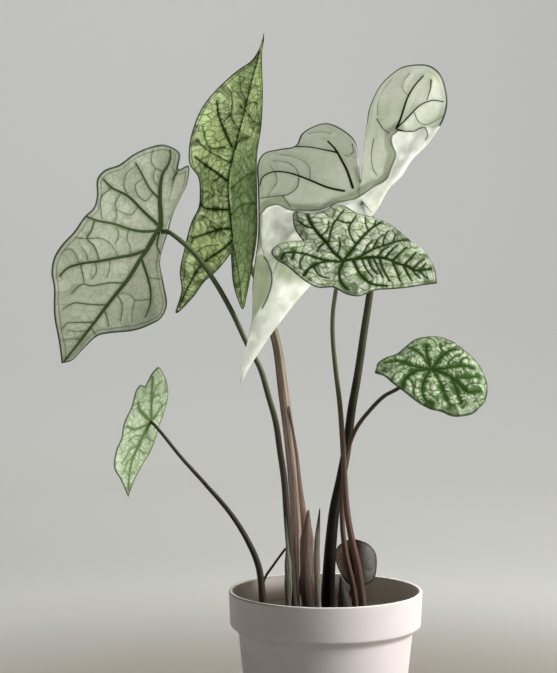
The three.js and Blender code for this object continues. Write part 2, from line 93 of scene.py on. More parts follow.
# The leaves repeat the CAD model's outlines, stalks and depths.
# stalk: [across, depth, up]. radii: at the stalk's foot and top. taper: how soon it thins.
# foot and depth: where the blade meets the stalk. tilt: depth gained for each mm across and up.
# notch, midrib, tip, left, right: [across, up] or [across, up, extra depth].
# lobes: share of the left and right margins that belongs to the lobe. waves and ruffle: their number
# and height at the margin. crown: arch. relief and quilt: height of the veins and between them.
# veins, side_veins: (width at the start, width at the end, one or more lines of [across, up]).
# folds: (height, half width, line). clear: (softness, outline). crease: the line of the roll.
# crumple and crumple_size: height and size of the wrinkles below it. spacing: of the mesh.
LEAVES = {
    "left": {
        "spacing": 0.7,
        "radii": [3.1, 1.7],
        "stalk": [
            [-18, -7, 66], [-20.5, -8, 90], [-22.5, -8.5, 114], [-24.5, -9, 141], [-26.8, -9, 169],
            [-29, -10, 198], [-32, -11, 219], [-35, -12, 239], [-40, -12, 257], [-46, -12, 277],
            [-55, -12, 294], [-66, -13, 317], [-78, -15, 338], [-91, -18, 356], [-104, -19, 368],
            [-110, -18, 372], [-115, -14.6, 372],
        ],
        "foot": [-115, 372],
        "depth": -14,
        "tilt": [0.55, -0.22],
        "notch": [-110, 372],
        "midrib": [[-125, 358], [-144, 335], [-165, 305]],
        "tip": [-185, 280],
        "left": [
            [-107, 384, 1], [-101, 397, 2], [-97, 405, 3], [-95.5, 418, 0], [-103, 416, -5],
            [-102, 427, -5], [-113, 433, -3], [-123, 431], [-134, 426], [-144, 419], [-155, 415, 2],
            [-160, 409, 3], [-160, 397, 2], [-162, 389, 1], [-168, 383], [-176, 372], [-184, 364],
            [-190, 355, 3], [-192, 344, 5], [-190, 333, 5], [-190, 313, 4], [-187, 294, 2],
        ],
        "right": [
            [-114, 361], [-116, 351], [-113, 335, 3], [-111, 321, 6], [-115, 312, 6], [-123, 307, 3],
            [-134, 303], [-152, 301, -2], [-160, 299, -2], [-171, 289], [-178, 282],
        ],
        "lobes": [0.5, 0.12],
        "waves": [9, 5],
        "ruffle": 2.2,
        "crown": 0.12,
        "relief": 0.45,
        "quilt": 0.5,
        "veins": [
            (4.0, 1.3, [[-115.5, 377], [-124, 362], [-130, 353], [-138, 340], [-149.5, 325.5],
                        [-162, 309], [-173.5, 294], [-183, 282]]),
            (4.0, 1.1, [[-116, 374], [-115.5, 383], [-116, 395], [-115.4, 405], [-113.8, 413],
                        [-110.7, 418], [-108.6, 424], [-108.8, 429]]),
            (1.7, 1.0, [[-116, 395], [-123, 402], [-128.5, 412.5], [-132.7, 420]]),
            (2.2, 1.1, [[-117, 377], [-127.5, 386.5], [-138, 397], [-149.5, 403], [-155, 408.5]]),
            (2.0, 1.2, [[-117, 373], [-129.5, 372.6], [-138, 374.3], [-147.5, 377.5], [-160, 380],
                        [-167, 382.7]]),
            (2.4, 1.2, [[-124, 360.5], [-134, 356.5], [-145, 354.4], [-158, 351.8], [-172.5, 349.7],
                        [-181, 346.5], [-185.7, 341.8]]),
            (2.0, 0.9, [[-129, 353], [-124.3, 339], [-122.7, 330], [-123.3, 321.4], [-126.5, 313]]),
            (1.2, 0.8, [[-116.5, 372], [-118, 362], [-116, 357]]),
        ],
        "side_veins": [
            (0.9, 0.6, [[-149.5, 403], [-157, 396], [-156.5, 381]]),
            (1.3, 0.9, [[-161.5, 380], [-164, 373], [-166.8, 367.5], [-162, 362], [-159, 354],
                        [-158.5, 351.5]]),
            (0.8, 0.5, [[-174, 368], [-166.8, 367.5], [-157, 367.5], [-150, 363], [-145.5, 355]]),
            (1.0, 0.7, [[-171.5, 349.8], [-170, 342.3], [-169, 337]]),
            (1.3, 0.8, [[-142, 336.5], [-152, 336.5], [-164, 334.5], [-170.5, 335.5], [-178, 329]]),
            (1.2, 0.8, [[-152.5, 321], [-165, 321.4], [-176, 322.4], [-184, 318.2]]),
            (1.1, 0.7, [[-163, 308.8], [-173.5, 308.8], [-181, 308.2], [-184.5, 304.6]]),
            (0.7, 0.5, [[-166, 303.5], [-172, 302.6], [-180, 303]],
             [[-171, 297], [-177, 297.4], [-183, 297]]),
            (0.9, 0.6, [[-145.3, 327], [-142.5, 321], [-143.7, 310]],
             [[-154.7, 316], [-152.5, 310], [-152, 306]]),
            (0.7, 0.5, [[-164, 305], [-160.5, 299.5]], [[-124, 340], [-116, 339]],
             [[-123, 325], [-133.7, 324.6], [-137, 328], [-143, 329.5]],
             [[-133.7, 324.6], [-135.6, 316], [-136, 309]],
             [[-172.5, 349.7], [-174.5, 356], [-178, 360], [-183, 359.5]],
             [[-166, 351], [-168, 358], [-171, 361.5]], [[-161, 351], [-160.5, 344], [-164, 339]],
             [[-151, 353], [-151.5, 346], [-153, 341]],
             [[-138, 397], [-141, 405], [-139, 413], [-133, 418]],
             [[-143, 399.5], [-147, 392], [-146, 384], [-148, 377.5]],
             [[-131, 390], [-136, 384], [-142, 385.5], [-147, 388]],
             [[-120.5, 399], [-126, 394], [-131, 397.5], [-133, 405], [-127, 409.5]],
             [[-115.5, 403], [-120, 408], [-119, 416], [-113.5, 414]],
             [[-119, 416], [-122, 422], [-121, 429]], [[-147, 377.5], [-145, 370], [-147, 364]],
             [[-138, 374], [-139, 367], [-136.5, 361], [-137, 356.5]]),
            (1.6, 0.8, [[-106.5, 409], [-103, 414.5]]),
        ],
    },
    "upright": {
        "spacing": 0.7,
        "radii": [5.4, 2.2],
        "taper": 0.7,
        "stalk": [
            [-14, 5, 68], [-18, 6, 95], [-19.5, 6.5, 120], [-19.8, 7, 145], [-20, 7.5, 170],
            [-22.3, 9, 200], [-25.6, 12, 230], [-29.8, 17.5, 261], [-33.2, 22.5, 288], [-37, 26, 305],
            [-46, 29, 335], [-57, 25, 357], [-65, 15, 367],
        ],
        "foot": [-65, 367],
        "depth": 14,
        "tilt": [0, 0.03],
        "notch": [-66.5, 357],
        "midrib": [[-68, 407], [-60, 443], [-52, 475], [-46, 497]],
        "tip": [-43, 511],
        "left": [
            [-70, 352, -2], [-77, 344, -4], [-85, 337, -6], [-93, 326, -8], [-105, 315, -10],
            [-101, 331, -11], [-102, 344, -11], [-99, 359, -12], [-94, 379, -12], [-89, 389, -12],
            [-88, 397, -12], [-89, 410, -12], [-95, 419, -13], [-95.5, 431, -13], [-93, 443, -12],
            [-86.5, 458, -10], [-75.5, 472, -8], [-62.5, 484, -5], [-52, 491, -2], [-47, 498, -1],
            [-44.5, 505, 0],
        ],
        "right": [
            [-66, 351, -4], [-65, 337, -10], [-62, 326, -14], [-58, 318, -20], [-54.5, 331, -26],
            [-52, 345, -29], [-48, 371, -31], [-48, 398, -31], [-48, 425, -30], [-45, 446, -27],
            [-44, 468, -18], [-44.5, 487, -8], [-44.5, 497, -4], [-43.2, 505, -1],
        ],
        "lobes": [0.42, 0.28],
        "waves": [10, 6],
        "ruffle": 1.8,
        "crown": -0.1,
        "relief": -0.4,
        "quilt": -0.5,
        "veins": [
            (1.4, 0.8, [[-65, 368], [-67, 388], [-68, 407], [-64, 428], [-60, 443], [-56, 459],
                        [-52, 475], [-46, 498]]),
            (1.6, 1.2, [[-65.5, 431.5], [-70, 441], [-74.5, 453], [-76, 463.5]]),
            (1.7, 1.2, [[-68.5, 407.5], [-77, 414], [-83, 418], [-91, 424]]),
            (1.5, 1.3, [[-67, 387.5], [-77, 388], [-84, 388.5], [-87.5, 391.5]]),
            (1.4, 1.1, [[-66, 374.5], [-73, 374], [-80, 372], [-93.5, 367.5]]),
            (1.5, 1.0, [[-65.5, 366], [-72, 360], [-86, 350], [-94, 338], [-102, 321]]),
            (0.9, 0.6, [[-65, 364], [-62, 350], [-60, 336], [-58.5, 322]],
             [[-66, 402], [-60, 408], [-54, 412], [-50, 413]],
             [[-64, 428], [-59, 437], [-53, 438], [-50.5, 443]],
             [[-60, 460], [-55.5, 456], [-50, 449], [-46, 447]]),
            (0.8, 0.6, [[-66, 384], [-60, 390], [-54, 392], [-49, 392]]),
        ],
        "side_veins": [
            (1.0, 0.7, [[-70.5, 431], [-80, 430.5], [-84, 436], [-86, 446]],
             [[-71, 449], [-66, 455], [-66, 468], [-69, 473]]),
            (0.9, 0.6, [[-66, 420], [-74, 424], [-84, 430], [-90, 436]]),
            (0.8, 0.6, [[-73.5, 411], [-80, 405], [-78, 399], [-82, 394]],
             [[-60, 443], [-65, 450], [-66, 460]], [[-55, 463], [-59, 470], [-60, 480]],
             [[-93, 366], [-98, 352], [-99, 340]]),
            (0.7, 0.5, [[-75, 363], [-84, 362], [-92, 357]], [[-77, 374], [-82, 381], [-88, 384]],
             [[-56, 459], [-51, 463], [-47.5, 461]], [[-53, 470], [-49.5, 474], [-46.5, 473]]),
        ],
    },
    "crown": {
        "spacing": 0.75,
        "radii": [5.8, 2.4],
        "taper": 2.2,
        "stalk": [
            [2, 15, 72], [1.8, 13, 110], [2.9, 9, 142], [6.3, 8.5, 177], [10.6, 9, 198], [15.5, 8, 225],
            [18, 7, 246], [22.5, 5, 272], [27, 3, 303], [31, 0, 330], [34, -5, 359], [31, -12, 383],
            [24, -23.6, 394],
        ],
        "foot": [24, 394],
        "depth": -24,
        "tilt": [0, 0],
        "notch": [24.3, 407, 6],
        "midrib": [[4, 387, -7], [-20, 374, -9], [-36, 352, -8], [-46, 318, -5]],
        "tip": [-60, 265, -6],
        "left": [
            [23, 418, 12], [22, 429, 18], [20, 436, 22], [9, 445, 28], [0, 448, 31], [-10, 445, 32],
            [-17, 440, 31], [-21, 432, 29], [-31, 430, 31], [-43, 427, 32], [-47.5, 420, 30],
            [-47.5, 405, 25], [-47, 386, 20], [-47.5, 366, 16], [-49.5, 350, 14], [-51, 336, 12],
            [-51.5, 312, 5], [-58, 280, -4],
        ],
        "right": [
            [26, 419, 10], [27, 434, 15], [29, 450, 20], [30, 457, 22], [38, 474, 22], [46, 482, 20],
            [54, 487, 18], [71, 488, 14], [78, 484, 10], [82, 478, 8], [85, 462, 4], [82, 450, 0],
            [78, 443, -2], [71, 433, -5], [60, 422, -7], [53, 411, -7], [44, 402, -3], [36, 388, 2],
            [6, 351, 3], [-13, 332, 0], [-34, 306, -4], [-51, 281, -6],
        ],
        "lobes": [0.55, 0.66],
        "waves": [11, 13],
        "ruffle": 1.6,
        "crown": 0.22,
        "relief": 0.3,
        "quilt": 0.5,
        "veins": [
            (1.8, 1.2, [[19, 402.5], [15.1, 414], [10.8, 422.5], [7, 429], [1.6, 435]]),
            (1.2, 0.8, [[8.5, 427], [-1.1, 429], [-12.4, 431], [-21.6, 431.4]]),
            (1.6, 0.9, [[13, 400.3], [1.1, 403], [-9.7, 407.4], [-18.4, 410.8], [-27, 413.3],
                        [-36.7, 413.6], [-43.8, 410], [-46, 404]],
             [[49.7, 443], [52.9, 452.7], [57.2, 465.7], [62.6, 474.4], [68, 480.3]]),
            (1.0, 0.7, [[49.7, 443], [58.3, 452.7], [66, 460.3], [74.5, 463.5], [82, 462.5]]),
            (0.8, 0.5, [[50.3, 442.5], [60.5, 441.9], [68.6, 444.1], [71.3, 439.8], [69.7, 435.5]]),
        ],
        "side_veins": [
            (0.8, 0.6, [[-18.4, 410.5], [-20, 403], [-26, 398.2], [-34.6, 396.6], [-45.4, 395.5]]),
            (0.6, 0.4, [[-30, 397], [-26, 392], [-23.8, 388.5]],
             [[-35.1, 413], [-34, 407], [-37, 402], [-40, 397]],
             [[-18.4, 411], [-21.6, 417], [-27, 420.3], [-36.7, 421.4]]),
            (0.5, 0.4, [[-36, 413.5], [-39, 418.5]],
             [[-10.8, 408.5], [-11.9, 418], [-20.5, 423.6], [-32, 426]]),
            (0.7, 0.5, [[35.6, 450.6], [40, 444.1], [45.4, 439.2]],
             [[33.5, 436.5], [31.9, 424.7], [33, 416], [35.6, 411.7]]),
            (0.5, 0.4, [[45.4, 477.6], [40, 470], [36.7, 462.5], [36.2, 452.7]],
             [[58.3, 482], [54.5, 476.5], [54, 471], [57.2, 466.8]]),
            (0.6, 0.4, [[61.6, 455], [65, 448.5], [70, 446.5], [76, 449], [82.5, 453]]),
            (1.3, 0.7, [[73.4, 477.6], [72.9, 472], [70.5, 464]]),
            (0.5, 0.4, [[-12, 440.5], [-4, 441.5], [4, 440.5]]),
            (0.7, 0.5, [[18.5, 433], [19, 428], [16, 424.8], [13, 425.3]], [[25, 393.5], [32, 386]]),
            (1.0, 0.8, [[-42.5, 354.5], [-39.4, 350], [-38, 344], [-37.5, 338], [-40.5, 326],
                        [-44, 318.5]]),
            (0.5, 0.4, [[-33, 352], [-36.5, 343]]),
            (0.6, 0.5, [[-45.5, 384], [-46, 372], [-45, 363], [-42.5, 357]]),
        ],
        "crumple": 0.7,
        "crumple_size": 11.0,
        "folds": [
            (1.5, 5, [[-42, 315.5], [-40.6, 321.6], [-34.6, 323.7], [-29.4, 322.7], [-25.9, 320.6],
                      [-22.4, 322.3], [-17.9, 327.5]]),
            (1.6, 7, [[-24, 362], [-35, 333], [-44, 303], [-55, 275]]),
            (1.4, 6, [[43.4, 439.2], [51.8, 429.4], [57.4, 423.8], [51.8, 414], [46.2, 407],
                      [36.4, 394.4]]),
            (1.2, 5, [[69.3, 443.4], [60.2, 429.4], [58.1, 418.9]]),
            (1.2, 7, [[-40, 388], [-36, 374], [-26, 366]]),
        ],
        "clear": [
            (0.8, [[-56, 354], [-43, 356.5], [-39.5, 350.5], [-38, 344], [-37.5, 338], [-40.5, 326],
                   [-46, 318.5], [-50, 312], [-54, 298], [-57, 290]]),
            (5.0, [[-37, 356], [-34, 349], [-34, 341], [-28, 337], [-18, 338], [-6, 344], [-8, 364],
                   [-30, 364]]),
            (0.8, [[-52, 392], [-44, 387], [-43.5, 380], [-45, 372], [-44, 362], [-50, 352]]),
        ],
        "crease": [
            [-47.5, 383], [-43.2, 385.8], [-40, 389], [-33.5, 391.2], [-25.9, 387.4], [-15.1, 385.8],
            [-3.3, 386.3], [7.5, 391.2], [18.3, 393.9], [32.4, 402], [43.2, 409], [46.4, 418.2],
            [48.6, 425.7], [46.5, 432.2], [46.5, 438], [50.5, 442],
        ],
    },
    "middle": {
        "spacing": 0.6,
        "radii": [3.2, 1.4],
        "stalk": [
            [20, -6, 66], [24.5, -6, 90], [26, -6.5, 110], [24.3, -7.5, 126], [22, -10, 140],
            [18.7, -13, 155], [16, -16, 170], [14.3, -18.5, 185], [13.2, -21, 204], [12, -27, 225],
            [10, -35, 251], [7, -45, 276], [5, -55, 298], [5, -63, 314], [7, -70, 330], [10, -76, 344],
            [12.6, -76.4, 351],
        ],
        "foot": [12.6, 352],
        "depth": -77,
        "tilt": [0.05, 0.85],
        "notch": [-16, 366],
        "midrib": [[38, 354], [54, 350], [62, 345]],
        "tip": [78, 336, 4],
        "left": [
            [-21, 373], [-23, 381], [-22, 386], [-11, 385, -2], [-1, 387, -1], [6, 391], [13, 390],
            [22, 385, -2], [34, 382, -1], [46, 377], [57, 368], [70, 358, 1], [76, 347, 3],
        ],
        "right": [
            [-23, 365.5], [-32, 363.5], [-38, 358.5], [-35, 353], [-27, 348], [-20, 342, 1],
            [-12, 336, 2], [-5, 333, 2], [6, 333], [13, 329, 2], [23, 327, 2], [34, 331], [46, 332, 2],
            [57, 333, 3], [70, 335, 4],
        ],
        "lobes": [0.4, 0.46],
        "waves": [8, 9],
        "ruffle": 1.2,
        "crown": 0.16,
        "relief": -0.4,
        "quilt": -0.5,
        "veins": [
            (2.2, 1.6, [[12, 351.6], [21, 353], [33.4, 354.2], [43, 353], [50.7, 349.8], [57, 347.9],
                        [62.5, 344.9], [68, 345.5], [73, 346]]),
            (1.9, 1.6, [[11.5, 352.2], [5, 358], [0.4, 364.4], [-6.6, 372.2], [-10.6, 378.5],
                        [-12.9, 384]]),
            (1.8, 1.2, [[12.5, 352], [18.5, 359.7], [25.6, 368.3], [32, 374.6], [38, 378.5]]),
            (1.3, 0.9, [[21, 353.5], [25, 355.5], [33.4, 360], [43, 363.2], [52.3, 366], [58.6, 366.3]]),
            (1.7, 1.1, [[12, 351], [2, 351.8], [-6.6, 353.8], [-14.5, 356.5], [-24, 357.7],
                        [-29.4, 356.5], [-31, 353.5]]),
            (1.3, 1.3, [[4, 351.6], [-2, 350.8], [-6.6, 349.4], [-12.1, 346], [-15.3, 341.6]]),
            (1.5, 1.0, [[12, 350.5], [9.5, 344.7], [9.9, 339.2], [12.2, 334.5], [16, 331.6]]),
            (1.7, 1.0, [[18.5, 352.6], [20.1, 350], [23.2, 344], [27.1, 339.2], [32.6, 335.6],
                        [43, 334.2]]),
        ],
        "side_veins": [
            (1.2, 0.8, [[2, 365], [4.4, 375.4], [8.3, 381.7], [12.6, 387]]),
            (1.2, 0.9, [[-9, 374.5], [-14.5, 376], [-19.2, 379.7]]),
            (0.9, 0.7, [[21, 363], [17, 370], [16.5, 375.4], [18.5, 379], [21, 383]]),
            (0.9, 0.6, [[7.5, 380.5], [12, 378.5], [17, 378]]),
            (1.0, 0.7, [[-9, 348], [-4.3, 341.5], [2, 339.6]]),
            (1.5, 1.0, [[37, 354.3], [40.5, 344.7], [44.4, 337.7]]),
            (1.2, 0.8, [[29.5, 354], [32, 347], [36, 342.5]]),
            (1.4, 1.0, [[46.5, 351.5], [50, 343], [52, 338]]),
            (1.5, 1.0, [[54, 349], [57, 343], [60, 338]]),
            (1.4, 1.0, [[47, 352], [53, 358], [56.5, 361]], [[55, 349], [60, 354], [63, 357.5]]),
            (1.3, 0.9, [[61, 346], [66, 351], [69, 353]]),
            (0.8, 0.6, [[30, 372.5], [28, 377], [27.5, 382]], [[34, 377], [35, 380]],
             [[40, 362.5], [41, 368], [44, 373]], [[47, 364.5], [48.5, 370]],
             [[-14.5, 356.5], [-18, 351], [-17.5, 346]], [[-22, 357.5], [-24, 352.5]]),
            (1.3, 0.9, [[41, 353.5], [46, 359], [50, 362.5]], [[36, 354.3], [40, 359], [44, 361.5]]),
            (1.2, 0.8, [[59, 347], [63, 342], [66, 339.5]], [[65, 345], [69, 341], [71, 339.5]],
             [[66, 345.3], [70, 350]]),
            (1.1, 0.8, [[33, 354.2], [36.5, 347], [40, 340]]),
            (1.0, 0.7, [[25, 353.5], [28.5, 346], [33, 340]], [[26, 356], [29, 362], [33, 366]],
             [[33, 360], [36, 366], [40, 370]], [[0, 365], [-4, 362], [-6, 358]],
             [[-4, 369], [1, 373], [2, 379]], [[8, 356], [10, 362], [9, 368]]),
        ],
    },
    "right": {
        "spacing": 0.5,
        "radii": [2.6, 1.3],
        "stalk": [
            [15, 1, 66], [19, 2, 90], [21, 2, 105], [19.5, 1, 122], [14.5, -1, 145], [12, -3, 165],
            [12, -4, 193], [14, -4, 211], [17.5, -6, 225], [22.5, -11, 236], [31, -19, 247],
            [41, -28, 257], [50, -35, 262], [62, -41, 270], [73.5, -44.4, 276],
        ],
        "foot": [73.5, 276],
        "depth": -45,
        "tilt": [0.1, 0.8],
        "notch": [35.4, 276.5, -1],
        "midrib": [[94, 265], [103, 259]],
        "tip": [112, 253, 6],
        "left": [
            [36.3, 280], [42, 284], [50, 287], [56, 292], [63, 297], [73.5, 299], [81, 298.5], [90, 295],
            [99, 288, 2], [107, 280, 4], [112, 270, 6], [113.5, 262, 7],
        ],
        "right": [
            [34.6, 273.4], [41, 271], [47, 266], [55, 260], [64, 253], [73, 248, 1], [81, 246, 2],
            [88, 243, 3], [94, 242.5, 4], [103, 244.5, 5], [108, 249, 6],
        ],
        "lobes": [0.5, 0.45],
        "waves": [6, 6],
        "ruffle": 0.9,
        "crown": 0.2,
        "relief": -0.4,
        "quilt": -0.6,
        "veins": [
            (2.2, 1.4, [[73.8, 276.2], [63.5, 277.8], [55.3, 280.5], [49.3, 281.9], [42, 280.5]]),
            (1.6, 1.0, [[72.5, 278], [67.8, 285], [63.5, 288.7], [58, 290.9]]),
            (2.2, 2.0, [[73, 277.5], [70.6, 287], [70.3, 292.5]]),
            (2.0, 2.2, [[75, 277.5], [79.8, 283.2], [83.1, 286.5], [87.4, 289.2], [91.3, 290.3]]),
            (1.8, 1.5, [[75, 276.2], [84.2, 276.7], [90.7, 278.6], [97.3, 278.3], [103, 276.7]]),
            (2.2, 3.0, [[74.5, 275.8], [84.2, 272.4], [89.6, 269.6], [95, 264.2], [100.5, 260],
                        [107, 260.9]]),
            (1.2, 1.0, [[88, 270.4], [98.9, 270.7], [106, 270.7]]),
            (2.0, 1.5, [[75, 275.2], [79.8, 267.5], [82, 261], [84.2, 255.5], [87, 251]]),
            (2.2, 1.6, [[88, 270], [90, 266], [92.3, 258.7], [95, 252.7]]),
            (2.4, 1.6, [[73, 275.5], [69, 268], [67.8, 260], [70, 254.4], [74, 251.3]]),
            (2.2, 2.2, [[72.5, 276], [63.5, 275], [59, 272.4], [54.8, 268], [53.7, 263.5]]),
        ],
        "side_veins": [
            (1.0, 0.8, [[79, 283], [81, 288], [80, 294]], [[84.2, 276.8], [88, 283], [94, 285.5]],
             [[92, 278.6], [96, 283], [99, 284]], [[96, 263.5], [102, 265.8], [109, 266]],
             [[68, 263], [74, 258], [79, 254]], [[57.5, 271.5], [61, 265], [62, 259]]),
        ],
    },
    "low": {
        "spacing": 0.5,
        "radii": [3.6, 1.2],
        "stalk": [
            [-24, 2, 62], [-34, -4, 76], [-41, -9, 92], [-44, -11, 114], [-47, -12, 137], [-55, -14, 156],
            [-67, -17, 175], [-85, -22, 196], [-102, -27, 215], [-114, -30, 230], [-120, -29.5, 237],
            [-122.5, -25.7, 239],
        ],
        "foot": [-122.5, 239],
        "depth": -25,
        "tilt": [1.2, 0],
        "notch": [-126.5, 264],
        "midrib": [[-131, 224], [-136.5, 205]],
        "tip": [-138.5, 186],
        "left": [
            [-130, 264.8], [-133, 261], [-136, 250], [-141, 239], [-143.5, 227], [-147, 219],
            [-148.5, 207], [-143.5, 198],
        ],
        "right": [
            [-124, 269], [-121.5, 273.5], [-117, 277.5], [-114.3, 274], [-111, 266], [-110.5, 257],
            [-113.5, 245], [-117, 235], [-119, 228], [-123, 218], [-129.5, 207], [-134.5, 197],
        ],
        "lobes": [0.35, 0.6],
        "waves": [4, 6],
        "ruffle": 1,
        "crown": 0.25,
        "relief": 0.3,
        "quilt": 0.4,
        "veins": [
            (3.2, 1.6, [[-122.7, 240], [-126.3, 233.2], [-130, 226], [-133.5, 218.2], [-136.5, 210.4],
                        [-138.2, 200], [-138.5, 191]]),
            (2.2, 1.4, [[-122.7, 239], [-122.3, 251], [-122.1, 260], [-121.2, 270]]),
            (2.8, 1.8, [[-123.3, 239.6], [-127.5, 244], [-130.5, 247.5], [-131.7, 253]]),
            (1.8, 1.2, [[-124, 238], [-128.7, 235.6], [-134.7, 233.8], [-139.5, 236]]),
            (1.2, 0.8, [[-122, 241], [-119.7, 243], [-115.5, 249.3], [-112, 252.3]]),
        ],
        "side_veins": [
            (1.0, 0.8, [[-122, 253], [-118.5, 264.3], [-114.3, 268]],
             [[-128.5, 229], [-134, 229], [-139, 225]]),
            (1.2, 0.8, [[-131.5, 222.5], [-137, 219.5], [-143, 210]]),
            (1.0, 0.8, [[-134, 217], [-139.5, 210], [-142, 203]]),
            (0.9, 0.7, [[-128.5, 229], [-122, 226], [-119.8, 224]], [[-132.5, 220.5], [-127, 216.5]],
             [[-121.8, 256], [-116, 258]]),
        ],
    },
}

WING = {
    "line": [[-8, 5, 100], [-11, 4, 130], [-14, 4, 160], [-18, 5, 190], [-21, 8, 220], [-26, 11, 250]],
    "width": 7,
    "curl": 0.3,
    "point": 1.4,
    "round": 1,
    "ragged": 0,
}

OLD = {
    "spacing": 0.45,
    "foot": [19, 125],
    "depth": 14,
    "tilt": [0, 0.1],
    "notch": [20, 121.5],
    "midrib": [[21, 138, 8], [22, 148, 8]],
    "tip": [21, 156.5, 3],
    "left": [[14, 127], [8.5, 137, -2], [7, 144, -3], [8.5, 151, -3], [14.5, 155.5]],
    "right": [[28, 124, -4], [34, 128, -8], [36, 138, -9], [35, 147, -7], [30, 153, -3]],
    "lobes": [0.3, 0.3],
    "waves": [2, 2],
    "ruffle": 0.5,
    "crown": -0.35,
    "relief": 0.25,
    "quilt": 0.6,
    "veins": [
        (1.0, 0.6, [[19.5, 126], [21, 138], [21.5, 148]]),
        (0.8, 0.5, [[20, 130], [13, 138], [11, 146]], [[20, 130], [28, 137], [32, 144]]),
    ],
    "side_veins": [
        (0.6, 0.4, [[20.5, 136], [15, 146], [15.5, 152]], [[21, 137], [27, 147], [28, 151]],
         [[26, 135], [31, 134]]),
    ],
}
OLD_STALK = [[10, 10, 70], [15, 13, 96], [17, 14, 112], [19, 14, 125], [20, 15, 132]]
OLD_RADII = [1.8, 1.2]

SPENT_RADII = [1.2, 0.9]
SPENT_STALK = [[-45, 4, 90], [-45.5, 5, 112], [-43, 7, 128], [-36, 11, 139], [-28, 16, 150]]

SHEATHS = {
    "sheath_brown": {
        "line": [[-9, -5, 80], [-10, -6, 92], [-12.5, -6, 120], [-13, -5, 150], [-12, -3, 177]],
        "width": 10.5,
        "curl": 0.5,
        "point": 3.6,
        "round": 0.8,
        "ragged": 0.4,
    },
    "sheath_pale": {
        "line": [[-4, -12, 80], [-4.5, -13, 92], [-5.4, -12, 122], [-6, -11, 150], [-4, -9, 178]],
        "width": 4.2,
        "curl": 0.4,
        "point": 4,
        "round": 1,
        "ragged": 0.2,
    },
    "sheath_left": {
        "line": [[-25, -13, 80], [-26, -14, 92], [-26, -14.5, 118], [-26.5, -14.5, 145],
                 [-28, -14.5, 172]],
        "width": 4.6,
        "curl": 0.4,
        "point": 2.2,
        "round": 1,
        "ragged": 0.35,
    },
    "sheath_short": {
        "line": [[16, -12, 82], [16, -12, 92], [13.5, -11, 112], [10.5, -10, 130]],
        "width": 10,
        "curl": 0.6,
        "point": 2.2,
        "round": 1,
        "ragged": 0.12,
    },
}


# Curves

def seen(points):
    """[across, depth, up] as drawn from the eye, to a place."""
    points = np.asarray(points, float)
    flat = points.copy()
    flat[:, 1] = 0
    return EYE + (flat - EYE) * (1 - points[:, 1:2] / EYE[1])


def project(places):
    """A place, back to [across, up] in the plane through the pot's axis."""
    shrink = -EYE[1] / (places[:, 1] - EYE[1])
    flat = EYE + (places - EYE) * shrink[:, None]
    return flat[:, [0, 2]]


class Line:
    """A centripetal Catmull-Rom curve, taken by its share of length."""

    DIVISIONS = 200

    def __init__(self, points):
        points = np.asarray(points, float)
        first = 2 * points[0] - points[1]
        last = 2 * points[-1] - points[-2]
        self.points = np.vstack([first, points, last])
        self.spans = len(points) - 1
        self.steps = np.linspace(0, 1, self.DIVISIONS + 1)
        pieces = np.diff(self.at_step(self.steps), axis=0)
        self.lengths = np.concatenate([[0], np.cumsum(np.linalg.norm(pieces, axis=1))])

    def at_step(self, step):
        place = np.atleast_1d(step) * self.spans
        index = np.clip(np.floor(place).astype(int), 0, self.spans - 1)
        t = (place - index)[:, None]
        p0, p1, p2, p3 = (self.points[index + k] for k in range(4))
        d0, d1, d2 = (np.sqrt(np.linalg.norm(b - a, axis=1))[:, None]
                      for a, b in ((p0, p1), (p1, p2), (p2, p3)))
        m1 = ((p1 - p0) / d0 - (p2 - p0) / (d0 + d1) + (p2 - p1) / d1) * d1
        m2 = ((p2 - p1) / d1 - (p3 - p1) / (d1 + d2) + (p3 - p2) / d2) * d1
        return p1 + m1 * t + (3 * (p2 - p1) - 2 * m1 - m2) * t ** 2 + (2 * (p1 - p2) + m1 + m2) * t ** 3

    def at(self, share):
        return self.at_step(np.interp(np.asarray(share) * self.lengths[-1], self.lengths, self.steps))

    def every(self, spacing):
        count = max(2, int(self.lengths[-1] / spacing) + 1)
        return self.at(np.linspace(0, 1, count))


def smooth(low, high, value):
    t = np.clip((value - low) / (high - low), 0, 1)
    return t * t * (3 - 2 * t)


# Blades

FINE_RIBS = 8
FINE_RINGS = 30
SAMPLE = 0.25
MARGIN_SAMPLE = 0.4
FAR = 30.0
VEIN_APART = 200
RAY_REACH = 3000

# The mesh, in spacings: unevenness, room kept at the margin and at veins, and a vein's longest edge
GRID_UNEVEN = 0.12
MARGIN_ROOM = 0.7
VEIN_ROOM = 0.62
LONGEST_EDGE = 2
SAME_POINT = 1e-5


def blade_points(leaf, points):
    """[across, up] or [across, up, extra depth], to places on the leaf's tilted plane."""
    full = np.array([list(p) + [0] * (3 - len(p)) for p in points], float)
    depth = (leaf["depth"] + leaf["tilt"][0] * (full[:, 0] - leaf["foot"][0])
             + leaf["tilt"][1] * (full[:, 1] - leaf["foot"][1]) + full[:, 2])
    return seen(np.column_stack([full[:, 0], depth, full[:, 1]]))


